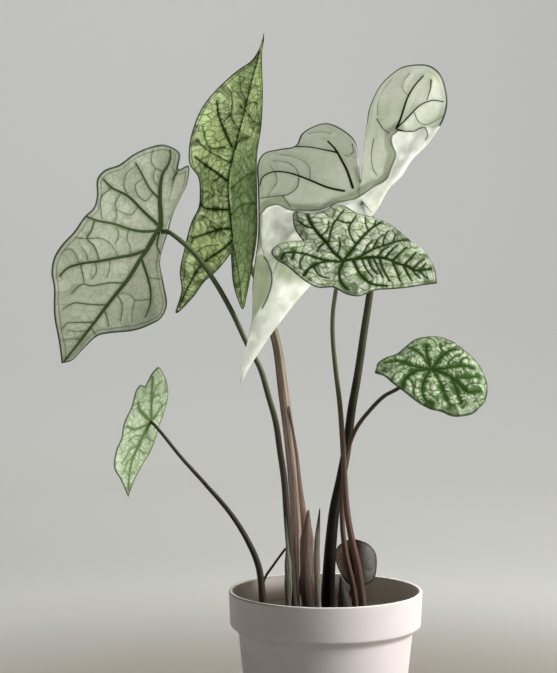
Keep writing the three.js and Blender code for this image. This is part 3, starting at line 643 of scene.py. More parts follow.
def blade_side(leaf, side, lobe_share, waves):
    """Rows of places from the midrib, or the foot, out to one margin."""
    margin = Line(blade_points(leaf, [leaf["notch"], *leaf[side], leaf["tip"]]))
    midrib = Line(blade_points(leaf, [leaf["foot"], *leaf["midrib"], leaf["tip"]]))
    rib = np.linspace(0, LOBE_RIBS + SIDE_RIBS, (LOBE_RIBS + SIDE_RIBS) * FINE_RIBS + 1)
    along_lobe = np.minimum(rib / LOBE_RIBS, 1)
    along_midrib = np.maximum((rib - LOBE_RIBS) / SIDE_RIBS, 0)
    share = lobe_share * along_lobe + (1 - lobe_share) * along_midrib
    start = midrib.at(along_midrib)
    end = margin.at(share)
    length = np.linalg.norm(end - start, axis=1)
    out = np.linspace(0, 1, FINE_RINGS + 1)
    places = start[:, None] + (end - start)[:, None] * out[None, :, None]
    places[:, :, 1] -= leaf["crown"] * length[:, None] * (out * (1 - out))[None]
    wave = np.sin(waves * math.pi * share)
    places[:, :, 1] += leaf["ruffle"] * wave[:, None] * (out ** 2)[None]
    return places


def grid_faces(rows, columns, first=0):
    a = (np.arange(rows - 1)[:, None] * columns + np.arange(columns - 1)[None]).ravel() + first
    return np.vstack([np.column_stack([a, a + columns, a + columns + 1]),
                      np.column_stack([a, a + columns + 1, a + 1])])


class Surface:
    """The blade's middle surface, reached from the eye."""

    def __init__(self, leaf):
        grids = [blade_side(leaf, side, leaf["lobes"][i], leaf["waves"][i])
                 for i, side in enumerate(("left", "right"))]
        flat = [g.reshape(-1, 3) for g in grids]
        faces = [grid_faces(g.shape[0], g.shape[1], first)
                 for g, first in zip(grids, (0, len(flat[0])))]
        self.tree = BVHTree.FromPolygons([Vector(p) for p in np.vstack(flat)], np.vstack(faces).tolist())
        left, right = (g[:, -1] for g in grids)
        loop = np.vstack([left, right[-2:0:-1]])
        self.margin = resample(loop, MARGIN_SAMPLE)
        self.flat_margin = project(self.margin)
        self.margin_tree = tree_of(level(self.flat_margin))

    def place(self, flat):
        """Where the lines of sight through [across, up] meet the blade."""
        found = np.empty((len(flat), 3))
        eye = Vector(EYE)
        for i, (across, up) in enumerate(flat):
            aim = Vector((across, 0, up)) - eye
            hit = self.tree.ray_cast(eye, aim.normalized(), RAY_REACH)[0]
            if hit is None:
                hit = self.margin[self.margin_tree.find((across, up, 0))[1]]
            found[i] = hit
        return found


def resample(loop, spacing):
    closed = np.vstack([loop, loop[:1]])
    lengths = np.concatenate([[0], np.cumsum(np.linalg.norm(np.diff(closed, axis=0), axis=1))])
    count = int(lengths[-1] / spacing)
    at = np.linspace(0, lengths[-1], count, endpoint=False)
    return np.column_stack([np.interp(at, lengths, closed[:, k]) for k in range(3)])


def tree_of(points):
    tree = KDTree(len(points))
    for i, p in enumerate(points):
        tree.insert(p, i)
    tree.balance()
    return tree


def inside(flat, loop):
    """Whether each point lies inside a closed outline."""
    x, y = flat[:, 0], flat[:, 1]
    result = np.zeros(len(flat), bool)
    x1, y1 = loop[:, 0], loop[:, 1]
    x2, y2 = np.roll(x1, -1), np.roll(y1, -1)
    for a, b, c, d in zip(x1, y1, x2, y2):
        if b != d:
            crossed = ((b > y) != (d > y)) & (x < (c - a) * (y - b) / (d - b) + a)
            result ^= crossed
    return result


def level(points):
    """[across, up] points with a third number, nought."""
    return np.column_stack([np.asarray(points, float), np.zeros(len(points))])


def flat_line(points):
    return Line(level(points))


def nearest(tree, places):
    found = [tree.find(p) for p in places]
    return np.array([f[1] for f in found], int), np.array([f[2] for f in found], float)


def hex_grid(loop, spacing):
    """Slightly uneven rows of points inside an outline."""
    low, high = loop.min(0), loop.max(0)
    rows = []
    for i, up in enumerate(np.arange(low[1], high[1], math.sqrt(3) / 2 * spacing)):
        across = np.arange(low[0] + (i % 2) * spacing / 2, high[0], spacing)
        rows.append(np.column_stack([across, np.full(len(across), up)]))
    grid = np.vstack(rows)
    grid += np.random.default_rng(SEED).uniform(-GRID_UNEVEN, GRID_UNEVEN, grid.shape) * spacing
    return grid[inside(grid, loop)]


def each_vein(groups):
    """One (width at the start, width at the end, line) for every line of the groups."""
    return [(start, end, line) for start, end, *lines in groups for line in lines]


def unforeshortened(leaf):
    """A matrix that stretches [across, up] to the tilted blade's own size."""
    tilt = np.array(leaf["tilt"], float)
    steep = np.linalg.norm(tilt)
    stretch = np.eye(2)
    if steep > 0:
        way = tilt / steep
        stretch += (math.sqrt(1 + steep ** 2) - 1) * np.outer(way, way)
    return stretch


def drawn_runs(leaf, loop, stretch):
    """Points along the crease and the veins, well inside the outline."""
    lines = [line for start, end, line in each_vein(leaf["veins"] + leaf["side_veins"])]
    if "crease" in leaf:
        lines.insert(0, leaf["crease"])
    loop_tree = tree_of(level(loop))
    runs = []
    for line in lines:
        run = flat_line(line).every(leaf["spacing"])[:, :2] @ stretch
        run = run[inside(run, loop)]
        runs.append(run[nearest(loop_tree, level(run))[1] > MARGIN_ROOM * leaf["spacing"]])
    return runs


def sheet_mesh(leaf, surface):
    """Even triangles over the blade's outline, with edges along its veins."""
    stretch = unforeshortened(leaf)
    spacing = leaf["spacing"]
    loop = resample(level(surface.flat_margin @ stretch), spacing)[:, :2]
    points = [loop]
    count = len(loop)
    edges = [(i, (i + 1) % count) for i in range(count)]
    for run in drawn_runs(leaf, loop, stretch):
        for i in range(len(run) - 1):
            if np.linalg.norm(run[i + 1] - run[i]) < LONGEST_EDGE * spacing:
                edges.append((count + i, count + i + 1))
        count += len(run)
        points.append(run)
    fixed = np.vstack(points)
    grid = hex_grid(loop, spacing)
    clear = nearest(tree_of(level(fixed)), level(grid))[1] > VEIN_ROOM * spacing
    every = np.vstack([fixed, grid[clear]])
    result = delaunay_2d_cdt([Vector(p) for p in every], edges, [], 0, SAME_POINT, False)
    flat = np.array([(v.x, v.y) for v in result[0]])
    faces = np.array(result[2])
    faces = faces[inside(flat[faces].mean(axis=1), loop)]
    used, faces = np.unique(faces, return_inverse=True)
    return flat[used] @ np.linalg.inv(stretch), faces.reshape(-1, 3)


def vein_distance(surface, veins, places):
    """Distance from each place to the nearest vein's edge, negative inside it, and how far along it."""
    samples = []
    halves = []
    along = []
    for i, (start, end, line) in enumerate(each_vein(veins)):
        run = flat_line(line).every(SAMPLE)[:, :2]
        samples.append(surface.place(run))
        halves.append(np.linspace(start, end, len(run)) / 2)
        along.append(i * VEIN_APART + SAMPLE * np.arange(len(run)))
    index, distance = nearest(tree_of(np.vstack(samples)), places)
    return np.minimum(distance - np.concatenate(halves)[index], FAR), np.concatenate(along)[index]


def sheet_normals(places, faces):
    a, b, c = (places[faces[:, k]] for k in range(3))
    facing = np.cross(b - a, c - a)
    normals = np.zeros_like(places)
    for k in range(3):
        np.add.at(normals, faces[:, k], facing)
    normals /= np.maximum(np.linalg.norm(normals, axis=1, keepdims=True), 1e-12)
    return normals


def open_edges(faces):
    edges = np.vstack([faces[:, [0, 1]], faces[:, [1, 2]], faces[:, [2, 0]]])
    seen_edges = set(map(tuple, edges))
    return [(a, b) for a, b in seen_edges if (b, a) not in seen_edges]


def thicken(places, faces, normals, half):
    """A closed sheet: two like faces and a band along the open edge."""
    count = len(places)
    points = np.vstack([places + normals * half[:, None], places - normals * half[:, None]])
    band = [face for a, b in open_edges(faces)
            for face in ((b, a, a + count), (b, a + count, b + count))]
    every = np.vstack([faces, faces[:, ::-1] + count, np.array(band)])
    return points, every


def roughly(places, size):
    """Smooth noise between -1 and 1 at each place."""
    return np.array([noise.noise(Vector(p) / size) for p in places])


BESIDE = 200


def crease_distance(surface, crease, flat, places):
    """Distance to the fold, positive below it: inside an outline from the fold to beyond the leaf."""
    line = flat_line(crease).every(SAMPLE)[:, :2]
    tree = tree_of(surface.place(line))
    distance = nearest(tree, places)[1]
    below = np.vstack([line, [[BESIDE, 460], [BESIDE, 200], [-BESIDE, 200], [-BESIDE, line[0][1]]]])
    return np.where(inside(flat, below), distance, -distance)


def fold_lift(surface, folds, places):
    """Ridges along soft creases, each (height, half width, line)."""
    lift = np.zeros(len(places))
    for height, width, line in folds:
        tree = tree_of(surface.place(flat_line(line).every(SAMPLE)[:, :2]))
        lift = np.maximum(lift, height * (1 - smooth(0, width, nearest(tree, places)[1])))
    return lift


def patch_share(patches, flat):
    """1 inside the outlines and 0 outside them, each given as (softness of its edge, outline)."""
    share = np.zeros(len(flat))
    for soft, outline in patches:
        loop = resample(level(outline), MARGIN_SAMPLE)[:, :2]
        distance = nearest(tree_of(level(loop)), level(flat))[1]
        signed = np.where(inside(flat, loop), distance, -distance)
        share = np.maximum(share, smooth(-soft, soft, signed))
    return share


def mesh_object(name, points, faces, material, attributes=None):
    mesh = bpy.data.meshes.new(name)
    mesh.from_pydata((np.asarray(points) * MM).tolist(), [], np.asarray(faces).tolist())
    for key, values in (attributes or {}).items():
        layer = mesh.attributes.new(key, "FLOAT", "POINT")
        layer.data.foreach_set("value", np.asarray(values, np.float32))
    mesh.validate()
    mesh.shade_smooth()
    mesh.materials.append(material)
    piece = bpy.data.objects.new(name, mesh)
    bpy.context.scene.collection.objects.link(piece)
    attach(piece, "root")
    return piece


# The blade's relief. Pairs are the mm from a vein, the margin or the fold over which it sets in,
# but SIDE_CUSHION scales and shifts the distance from a side vein.
RIDGE = (-0.6, 0.9)
SIDE_RIDGE = (-0.3, 0.6)
SIDE_RIDGE_SHARE = 0.5
CUSHION = (0, 5)
SIDE_CUSHION = (1.4, 0.3)
INNER = (0.5, 5)
UNEVEN = 0.35
UNEVEN_SIZE = 14.0
ROLL_HEIGHT = 2.0
ROLL_RISES = (-9, -0.6)
ROLL_ENDS = (-0.4, 1.8)
ROLL_MARGIN = (0, 6)
FOLD_MARGIN = (0, 3)
CRUMPLE_SHARP = 2.5
CRUMPLE_FOLD = (0, 3)
CRUMPLE_MARGIN = (0, 4)
PLAIN_MARGIN = 4
PLAIN_FROM = (0.5, 2)
EDGE_THIN = 0.35
EDGE_FULL = (0, 1.5)


def blade_lift(leaf, places, main, side, margin):
    """Raised veins, cushions between them and a slow unevenness."""
    inner = smooth(*INNER, margin)
    ridge = 1 - smooth(*RIDGE, main)
    side_ridge = SIDE_RIDGE_SHARE * (1 - smooth(*SIDE_RIDGE, side))
    widen, shift = SIDE_CUSHION
    between = smooth(*CUSHION, np.minimum(main, side * widen + shift))
    lift = leaf["relief"] * np.maximum(ridge, side_ridge) - leaf["quilt"] * between * inner
    return lift + UNEVEN * roughly(places, UNEVEN_SIZE) * inner


def rolled_lift(leaf, surface, places, fold, margin):
    """The roll along the crease, the soft folds, and crumples below the crease."""
    roll = ROLL_HEIGHT * smooth(*ROLL_RISES, fold) * (1 - smooth(*ROLL_ENDS, fold))
    folds = fold_lift(surface, leaf["folds"], places) * smooth(*FOLD_MARGIN, margin)
    wrinkles = leaf["crumple"] * (1 - CRUMPLE_SHARP * np.abs(roughly(places, leaf["crumple_size"])))
    crumples = wrinkles * smooth(*CRUMPLE_FOLD, fold) * smooth(*CRUMPLE_MARGIN, margin)
    return roll * smooth(*ROLL_MARGIN, margin) + folds + crumples


def blade_piece(name, leaf, material):
    surface = Surface(leaf)
    flat, faces = sheet_mesh(leaf, surface)
    places = surface.place(flat)
    normals = sheet_normals(places, faces)
    facing = np.sign((normals * (EYE - places)).sum(1).mean())
    if facing < 0:
        faces = faces[:, ::-1]
        normals = -normals
    main, run = vein_distance(surface, leaf["veins"], places)
    side = vein_distance(surface, leaf["side_veins"], places)[0]
    margin = nearest(tree_of(surface.margin), places)[1]
    lift = blade_lift(leaf, places, main, side, margin)
    attributes = {"main": main, "side": side, "margin": margin, "run": run}
    if "crease" in leaf:
        fold = crease_distance(surface, leaf["crease"], flat, places)
        clear = patch_share(leaf["clear"], flat)
        lift += rolled_lift(leaf, surface, places, fold, margin)
        plain = PLAIN_MARGIN * smooth(*PLAIN_FROM, fold) * (1 - clear)
        attributes.update({"fold": fold, "clear": clear, "margin": margin + plain})
    places = places + normals * lift[:, None]
    normals = sheet_normals(places, faces)
    half = BLADE_THICKNESS / 2 * (EDGE_THIN + (1 - EDGE_THIN) * smooth(*EDGE_FULL, margin))
    points, every = thicken(places, faces, normals, half)
    attributes = {key: np.tile(values, 2) for key, values in attributes.items()}
    return mesh_object(f"leaf_{name}", points, every, material, attributes)


# Tubes and strips

def tube_frames(line, steps, short):
    """Centres and two cross directions that don't twist. The line ends so many mm short."""
    centres = line.at(np.linspace(0, 1 - short / line.lengths[-1], steps + 1))
    along = np.gradient(centres, axis=0)
    along /= np.linalg.norm(along, axis=1, keepdims=True)
    side = np.cross(along[0], [0, 1, 0])
    one = [side / np.linalg.norm(side)]
    for t in along[1:]:
        side = one[-1] - t * np.dot(one[-1], t)
        one.append(side / np.linalg.norm(side))
    one = np.array(one)
    return centres, one, np.cross(along, one)


GROOVES_UNEVEN = 1.5


def tube(points, radius_at, sides=28, steps=200, grooves=0.0, groove_count=9, short=0.0):
    centres, one, two = tube_frames(Line(seen(points)), steps, short)
    share = np.linspace(0, 1, steps + 1)
    turn = np.linspace(0, 2 * math.pi, sides, endpoint=False)
    wave = np.cos(groove_count * turn + GROOVES_UNEVEN * np.sin(2 * turn))
    radius = radius_at(share)[:, None] * (1 - grooves * (0.5 + 0.5 * wave))[None]
    rings = centres[:, None] + radius[:, :, None] * (
        np.cos(turn)[None, :, None] * one[:, None] + np.sin(turn)[None, :, None] * two[:, None])
    places = rings.reshape(-1, 3)
    a = np.arange(steps)[:, None] * sides + np.arange(sides)[None]
    b = np.arange(steps)[:, None] * sides + (np.arange(sides)[None] + 1) % sides
    quads = np.column_stack([a.ravel(), b.ravel(), (b + sides).ravel(), (a + sides).ravel()])
    faces = np.vstack([quads[:, [0, 1, 2]], quads[:, [0, 2, 3]]])
    first, last = len(places), len(places) + 1
    places = np.vstack([places, centres[0], centres[-1]])
    ring = np.arange(sides)
    after = (ring + 1) % sides
    top = steps * sides
    caps = np.vstack([np.column_stack([after, ring, np.full(sides, first)]),
                      np.column_stack([ring + top, after + top, np.full(sides, last)])])
    along = np.concatenate([np.repeat(share, sides), [0, 1]])
    around = np.concatenate([np.tile(turn, steps + 1), [0, 0]])
    return places, facing_out(places, np.vstack([faces, caps])), {"along": along, "around": around}


def facing_out(places, faces):
    a, b, c = (places[faces[:, k]] for k in range(3))
    volume = (a * np.cross(b, c)).sum()
    return faces if volume > 0 else faces[:, ::-1]


def stalk_radius(foot, top, taper):
    """The radius as a function of the share of a stalk's length."""
    return lambda share: top + (foot - top) * (1 - share) ** taper


TIP_WIDTH = 0.1
RAGGED_RATE = 9
FIBRE_HEIGHT = 0.12
FIBRE_RATE = 14
EDGE_LOSS = 0.6


def strip(shape, steps=90, columns=16, thickness=0.5):
    """A thin lance-shaped sheath with a gutter section."""
    line = Line(seen(shape["line"]))
    share = np.linspace(0, 1, steps + 1)
    across = np.linspace(-1, 1, columns + 1)
    narrowing = TIP_WIDTH + (shape["point"] * (1 - share)) ** shape["round"]
    half = shape["width"] / 2 * np.minimum(1, narrowing)
    centres = line.at(share)
    places = np.repeat(centres[:, None], columns + 1, axis=1)
    wobble = np.array([noise.noise(Vector((s * RAGGED_RATE, shape["width"], 0))) for s in share])
    places[:, :, 0] += half[:, None] * across[None] * (1 + shape["ragged"] * wobble[:, None])
    places[:, :, 1] += shape["curl"] * half[:, None] * (across ** 2)[None]
    places[:, :, 1] += FIBRE_HEIGHT * np.cos(across * FIBRE_RATE)[None]
    flat = places.reshape(-1, 3)
    faces = grid_faces(steps + 1, columns + 1)
    normals = sheet_normals(flat, faces)
    edge = np.tile(1 - np.abs(across) ** 4 * EDGE_LOSS, steps + 1)
    points, every = thicken(flat, faces, normals, thickness / 2 * edge)
    along = np.tile(np.repeat(share, columns + 1), 2)
    values = {"along": along, "around": np.tile(across, 2 * (steps + 1))}
    return points, facing_out(points, every), values


# Materials

def paint(red, green, blue):
    """A colour as a screen shows it, 0 to 255, to the renderer's own scale, by the sRGB curve."""
    def straight(value):
        value /= 255
        return value / 12.92 if value <= 0.04045 else ((value + 0.055) / 1.055) ** 2.4
    return (straight(red), straight(green), straight(blue), 1.0)


class Surfacing:
    """A material's nodes, made and joined one after another."""

    def __init__(self, name):
        self.material = bpy.data.materials.new(name)
        self.material.use_nodes = True
        self.tree = self.material.node_tree
        self.tree.nodes.clear()
        self.out = self.tree.nodes.new("ShaderNodeOutputMaterial")

    def node(self, kind, inputs=None, **settings):
        made = self.tree.nodes.new(kind)
        for key, value in settings.items():
            setattr(made, key, value)
        for key, value in (inputs or {}).items():
            self.feed(made.inputs[key], value)
        return made

    def feed(self, socket, value):
        if isinstance(value, bpy.types.NodeSocket):
            self.tree.links.new(value, socket)
        else:
            socket.default_value = value

    def coordinates(self):
        return self.node("ShaderNodeTexCoord").outputs["Object"]

    def axes(self, vector=None):
        return self.node("ShaderNodeSeparateXYZ", {0: vector or self.coordinates()}).outputs

    def vector(self, x, y, z=0.0):
        return self.node("ShaderNodeCombineXYZ", {"X": x, "Y": y, "Z": z}).outputs[0]

    def radius(self, here):
        """Distance from the upright axis."""
        flat = self.node("ShaderNodeVectorMath", {0: here, 1: (1, 1, 0)}, operation="MULTIPLY").outputs[0]
        return self.node("ShaderNodeVectorMath", {0: flat}, operation="LENGTH").outputs["Value"]

    def attribute(self, name):
        return self.node("ShaderNodeAttribute", attribute_name=name).outputs["Fac"]

    def math(self, operation, one, other=0.0, clamp=False):
        made = self.node("ShaderNodeMath", {0: one, 1: other}, operation=operation, use_clamp=clamp)
        return made.outputs[0]

    def times(self, one, other, clamp=False):
        return self.math("MULTIPLY", one, other, clamp)

    def plus(self, one, other, clamp=False):
        return self.math("ADD", one, other, clamp)

    def most(self, one, other):
        return self.math("MAXIMUM", one, other)

    def swing(self, noise_value, size):
        """A noise from 0 to 1, made to swing about nought."""
        return self.times(self.math("SUBTRACT", noise_value, 0.5), size)

    def step(self, value, low, high, from_value=0.0, to_value=1.0):
        inputs = {"Value": value, "From Min": low, "From Max": high,
                  "To Min": from_value, "To Max": to_value}
        return self.node("ShaderNodeMapRange", inputs, interpolation_type="SMOOTHSTEP").outputs["Result"]

    def fall(self, value, low, high, top=1.0):
        """From the top down to nought, between low and high."""
        return self.step(value, low, high, top, 0.0)

    def over(self, value, span, from_value=0.0, to_value=1.0):
        """A step of a coordinate, over a span in mm."""
        return self.step(value, span[0] * MM, span[1] * MM, from_value, to_value)

    def mix(self, share, one, other, blend="MIX"):
        made = self.node("ShaderNodeMix", data_type="RGBA", blend_type=blend)
        self.feed(made.inputs["Factor"], share)
        self.feed(made.inputs[6], one)
        self.feed(made.inputs[7], other)
        return made.outputs[2]

    def noise(self, scale, detail=2.0, vector=None, roughness=0.5, output="Fac"):
        inputs = {"Vector": vector or self.coordinates(), "Scale": scale, "Detail": detail,
                  "Roughness": roughness}
        return self.node("ShaderNodeTexNoise", inputs).outputs[output]

    def net(self, cell, vector, randomness=0.9):
        """Distance to the nearest edge of a net of cells so many units wide, as a share of a cell."""
        inputs = {"Vector": vector, "Scale": 1 / cell, "Randomness": randomness}
        return self.node("ShaderNodeTexVoronoi", inputs, feature="DISTANCE_TO_EDGE").outputs["Distance"]

    def bump(self, height, strength, distance):
        inputs = {"Height": height, "Strength": strength, "Distance": distance * MM}
        return self.node("ShaderNodeBump", inputs).outputs["Normal"]

    def surface(self, color, roughness, specular, **more):
        inputs = {"Base Color": color, "Roughness": roughness, "Specular IOR Level": specular, **more}
        return self.node("ShaderNodeBsdfPrincipled", inputs).outputs[0]

    def thin(self, through, surface, color, **more):
        """A share of light passes through the surface and takes a colour."""
        clear = self.node("ShaderNodeBsdfTranslucent", {"Color": color, **more}).outputs[0]
        return self.node("ShaderNodeMixShader", {0: through, 1: surface, 2: clear}).outputs[0]

    def finish(self, shader):
        self.tree.links.new(shader, self.out.inputs["Surface"])
        return self.material


def leaf_net(s, look, run, main, patches):
    """Cross veins between the main ones: cells drawn out away from the nearest main vein."""
    shift = s.axes(s.noise(scale=1 / (look["bend_size"] * MM), output="Color"))
    along = s.plus(run, s.times(shift["X"], look["bend"]))
    away = s.plus(s.times(main, look["drawn_out"]), s.times(shift["Y"], look["bend"] * look["drawn_out"]))
    place = s.vector(along, away)
    width = s.step(patches, *look["line_patches"], *look["line_widths"])
    lines = None
    for kind in ("coarse", "fine"):
        distance = s.net(look[f"{kind}_cell"], place)
        limit = s.times(width, look[f"{kind}_line"])
        line = s.times(s.fall(distance, 0.0, limit), look[f"{kind}_share"])
        lines = line if lines is None else s.most(lines, line)
    return lines


def leaf_ground(s, look, main, side, patches, mottle, lines):
    """Pale between the veins, greener beside them and along the net."""
    pale = s.mix(s.step(patches, *look["pale_patches"]), look["pale"], look["pale_too"])
    halo = s.fall(main, 0.0, look["halo"])
    side_halo = s.fall(side, 0.0, look["halo"] * look["side_halo"])
    green = s.plus(lines, s.times(halo, look["halo_share"]))
    green = s.plus(green, s.times(side_halo, look["halo_share"] * look["side_halo_share"]))
    green = s.plus(green, s.swing(mottle, look["mottle"]), clamp=True)
    return s.mix(green, pale, look["green"])


def leaf_veins(s, look, main, side):
    low, high = look["bolder"] - look["soft"], look["bolder"] + look["soft"]
    return s.most(s.fall(main, low, high), s.times(s.fall(side, low, high), look["side_share"]))


def leaf_edge(s, look, margin, patches):
    """The dark margin, and the faint ring that wanders along inside it."""
    edge = s.fall(margin, look["edge_width"] * look["edge_solid"], look["edge_width"])
    wandering = s.plus(margin, s.swing(patches, look["ring_wander"]))
    ring = s.math("ABSOLUTE", s.math("SUBTRACT", wandering, look["ring_at"]))
    ring = s.times(s.fall(ring, *look["ring_edge"]), look["ring_share"])
    return s.most(s.times(edge, look["edge_share"]), ring)


def leaf_material(name, look):
    s = Surfacing(name)
    main, side, margin, run = (s.attribute(key) for key in ("main", "side", "margin", "run"))
    patches = s.noise(scale=1 / (look["patch"] * MM), detail=3.0)
    mottle = s.noise(scale=1 / (look["mottle_size"] * MM), detail=3.0)
    lines = leaf_net(s, look, run, main, patches)
    vein = leaf_veins(s, look, main, side)
    edge = leaf_edge(s, look, margin, patches)
    color = leaf_ground(s, look, main, side, patches, mottle, lines)
    if "zone" in look:
        color = look["zone"](s, color)
    color = s.mix(s.times(vein, look["vein_share"]), color, look["vein"])
    color = s.mix(edge, color, look["edge"])

    height = s.plus(s.times(lines, look["line_height"]), s.times(mottle, look["mottle_height"]))
    normal = s.bump(height, look["bump"], look["bump_size"])
    front = s.surface(color, look["roughness"], look["specular"], Normal=normal)
    drawn = s.most(s.most(vein, edge), s.times(lines, look["line_shade"]))
    lift = s.times(s.math("SUBTRACT", 1.0, drawn), look["lift"], clamp=True)
    lit = s.mix(lift, color, look["lit"])
    return s.finish(s.thin(look["through"], front, lit, Normal=normal))


# The net of cross veins, the ground's patches, the halos beside the veins, the veins, the margin
# and its ring, and the surface. Sizes are mm, and shares go from 0 to 1.
BASE_LOOK = {
    "bend": 5.0, "bend_size": 9, "drawn_out": 0.5, "coarse_cell": 5, "fine_cell": 2.3,
    "coarse_line": 0.09, "fine_line": 0.1, "coarse_share": 0.6, "fine_share": 0.3,
    "line_patches": (0.3, 0.7), "line_widths": (0.6, 1.35), "line_height": -0.5, "line_shade": 0.7,
    "patch": 20, "pale_patches": (0.35, 0.65), "mottle_size": 3, "mottle": 0.5, "mottle_height": 0.3,
    "halo": 3.0, "halo_share": 0.4, "side_halo": 0.5, "side_halo_share": 0.6,
    "soft": 0.3, "bolder": 0.0, "side_share": 0.8, "vein_share": 0.97,
    "edge_width": 1.3, "edge_solid": 0.5, "edge_share": 0.85,
    "ring_at": 3.4, "ring_share": 0.0, "ring_wander": 3.0, "ring_edge": (0.15, 0.6),
    "bump": 0.35, "bump_size": 0.4, "roughness": 0.5, "specular": 0.2, "through": 0.6, "lift": 0.35,
    "lit": paint(252, 254, 244),
}

# The crown leaf about its fold: mm from the fold, positive below it
ABOVE_TO_BELOW = (-0.6, 0.4)
# A painted shadow band along the roll, just above the fold
ROLL_SHADOW_STARTS = (-6.5, -4.0)
ROLL_SHADOW_ENDS = (-1.2, -0.2)
ROLL_SHADOW_SHARE = 0.6
FOLD_LINE_AT = 0.1
FOLD_LINE_EDGE = (0.3, 0.8)
FOLD_LINE_SHARE = 0.85
# Across this span the leaf above the fold is painted darker to the left, as painted shade
PAINTED_SHADE_SPAN = (-30, 30)
CLOTH_SCALE = 110
CLOTH_PATCHES = (0.35, 0.65)
CLEAR_SHARE = 0.95

# The upright leaf's strip, painted darker as painted shade where two layers overlap, and the middle leaf's
# darker tip
STRIP_LEFT_EDGE = (-67.5, -65.5)
STRIP_TOP = (405, 452)
STRIP_FOOT = (325, 365)
STRIP_FAINT = 0.35
STRIP_SHARE = 0.75
TIP_SPAN = (12, 50)
TIP_SHARE = 0.25


def brighter_below_fold(s, color):
    """Above the fold the leaf is thin, painted darker towards its left as painted shade. Below it, the
    leaf's own white is painted brighter still, as painted light on the slope that faces the lamp, but for
    clear patches; a painted shadow band runs along the roll above the fold, and a dark line follows the
    fold.
    """
    fold = s.attribute("fold")
    # Painted shade, darker towards the left above the fold.
    shade = s.mix(s.over(s.axes()["X"], PAINTED_SHADE_SPAN), paint(232, 234, 232), paint(255, 255, 255))
    above = s.mix(1.0, color, shade, "MULTIPLY")
    cloth = s.noise(scale=CLOTH_SCALE, detail=3.0)
    # Below the fold, whiter: the leaf's own white and painted light.
    below = s.mix(s.step(cloth, *CLOTH_PATCHES), paint(246, 247, 244), paint(230, 232, 225))
    below = s.mix(s.times(s.attribute("clear"), CLEAR_SHARE), below, paint(184, 193, 168))
    color = s.mix(s.step(fold, *ABOVE_TO_BELOW), above, below)
    # Painted shadow along the roll above the fold.
    band = s.times(s.step(fold, *ROLL_SHADOW_STARTS), s.fall(fold, *ROLL_SHADOW_ENDS))
    color = s.mix(s.times(band, ROLL_SHADOW_SHARE), color, paint(160, 172, 138))
    line = s.fall(s.math("ABSOLUTE", s.plus(fold, FOLD_LINE_AT)), *FOLD_LINE_EDGE)
    return s.mix(s.times(line, FOLD_LINE_SHARE), color, paint(70, 74, 50))


def double_layer(s, color):
    """The right-hand strip of the upright leaf shows two layers at once, and is painted darker there as
    painted shade.
    """
    axes = s.axes()
    across = s.over(axes["X"], STRIP_LEFT_EDGE)
    upper = s.over(axes["Z"], STRIP_TOP, 1.0, STRIP_FAINT)
    lower = s.over(axes["Z"], STRIP_FOOT, STRIP_FAINT, 1.0)
    share = s.times(s.times(across, upper), lower)
    # Painted shade over the strip.
    return s.mix(s.times(share, STRIP_SHARE), color, paint(92, 122, 62))


def darker_tip(s, color):
    """The middle leaf's veins crowd together towards its tip."""
    share = s.over(s.axes()["X"], TIP_SPAN, 0.0, TIP_SHARE)
    return s.mix(share, color, paint(104, 132, 78))


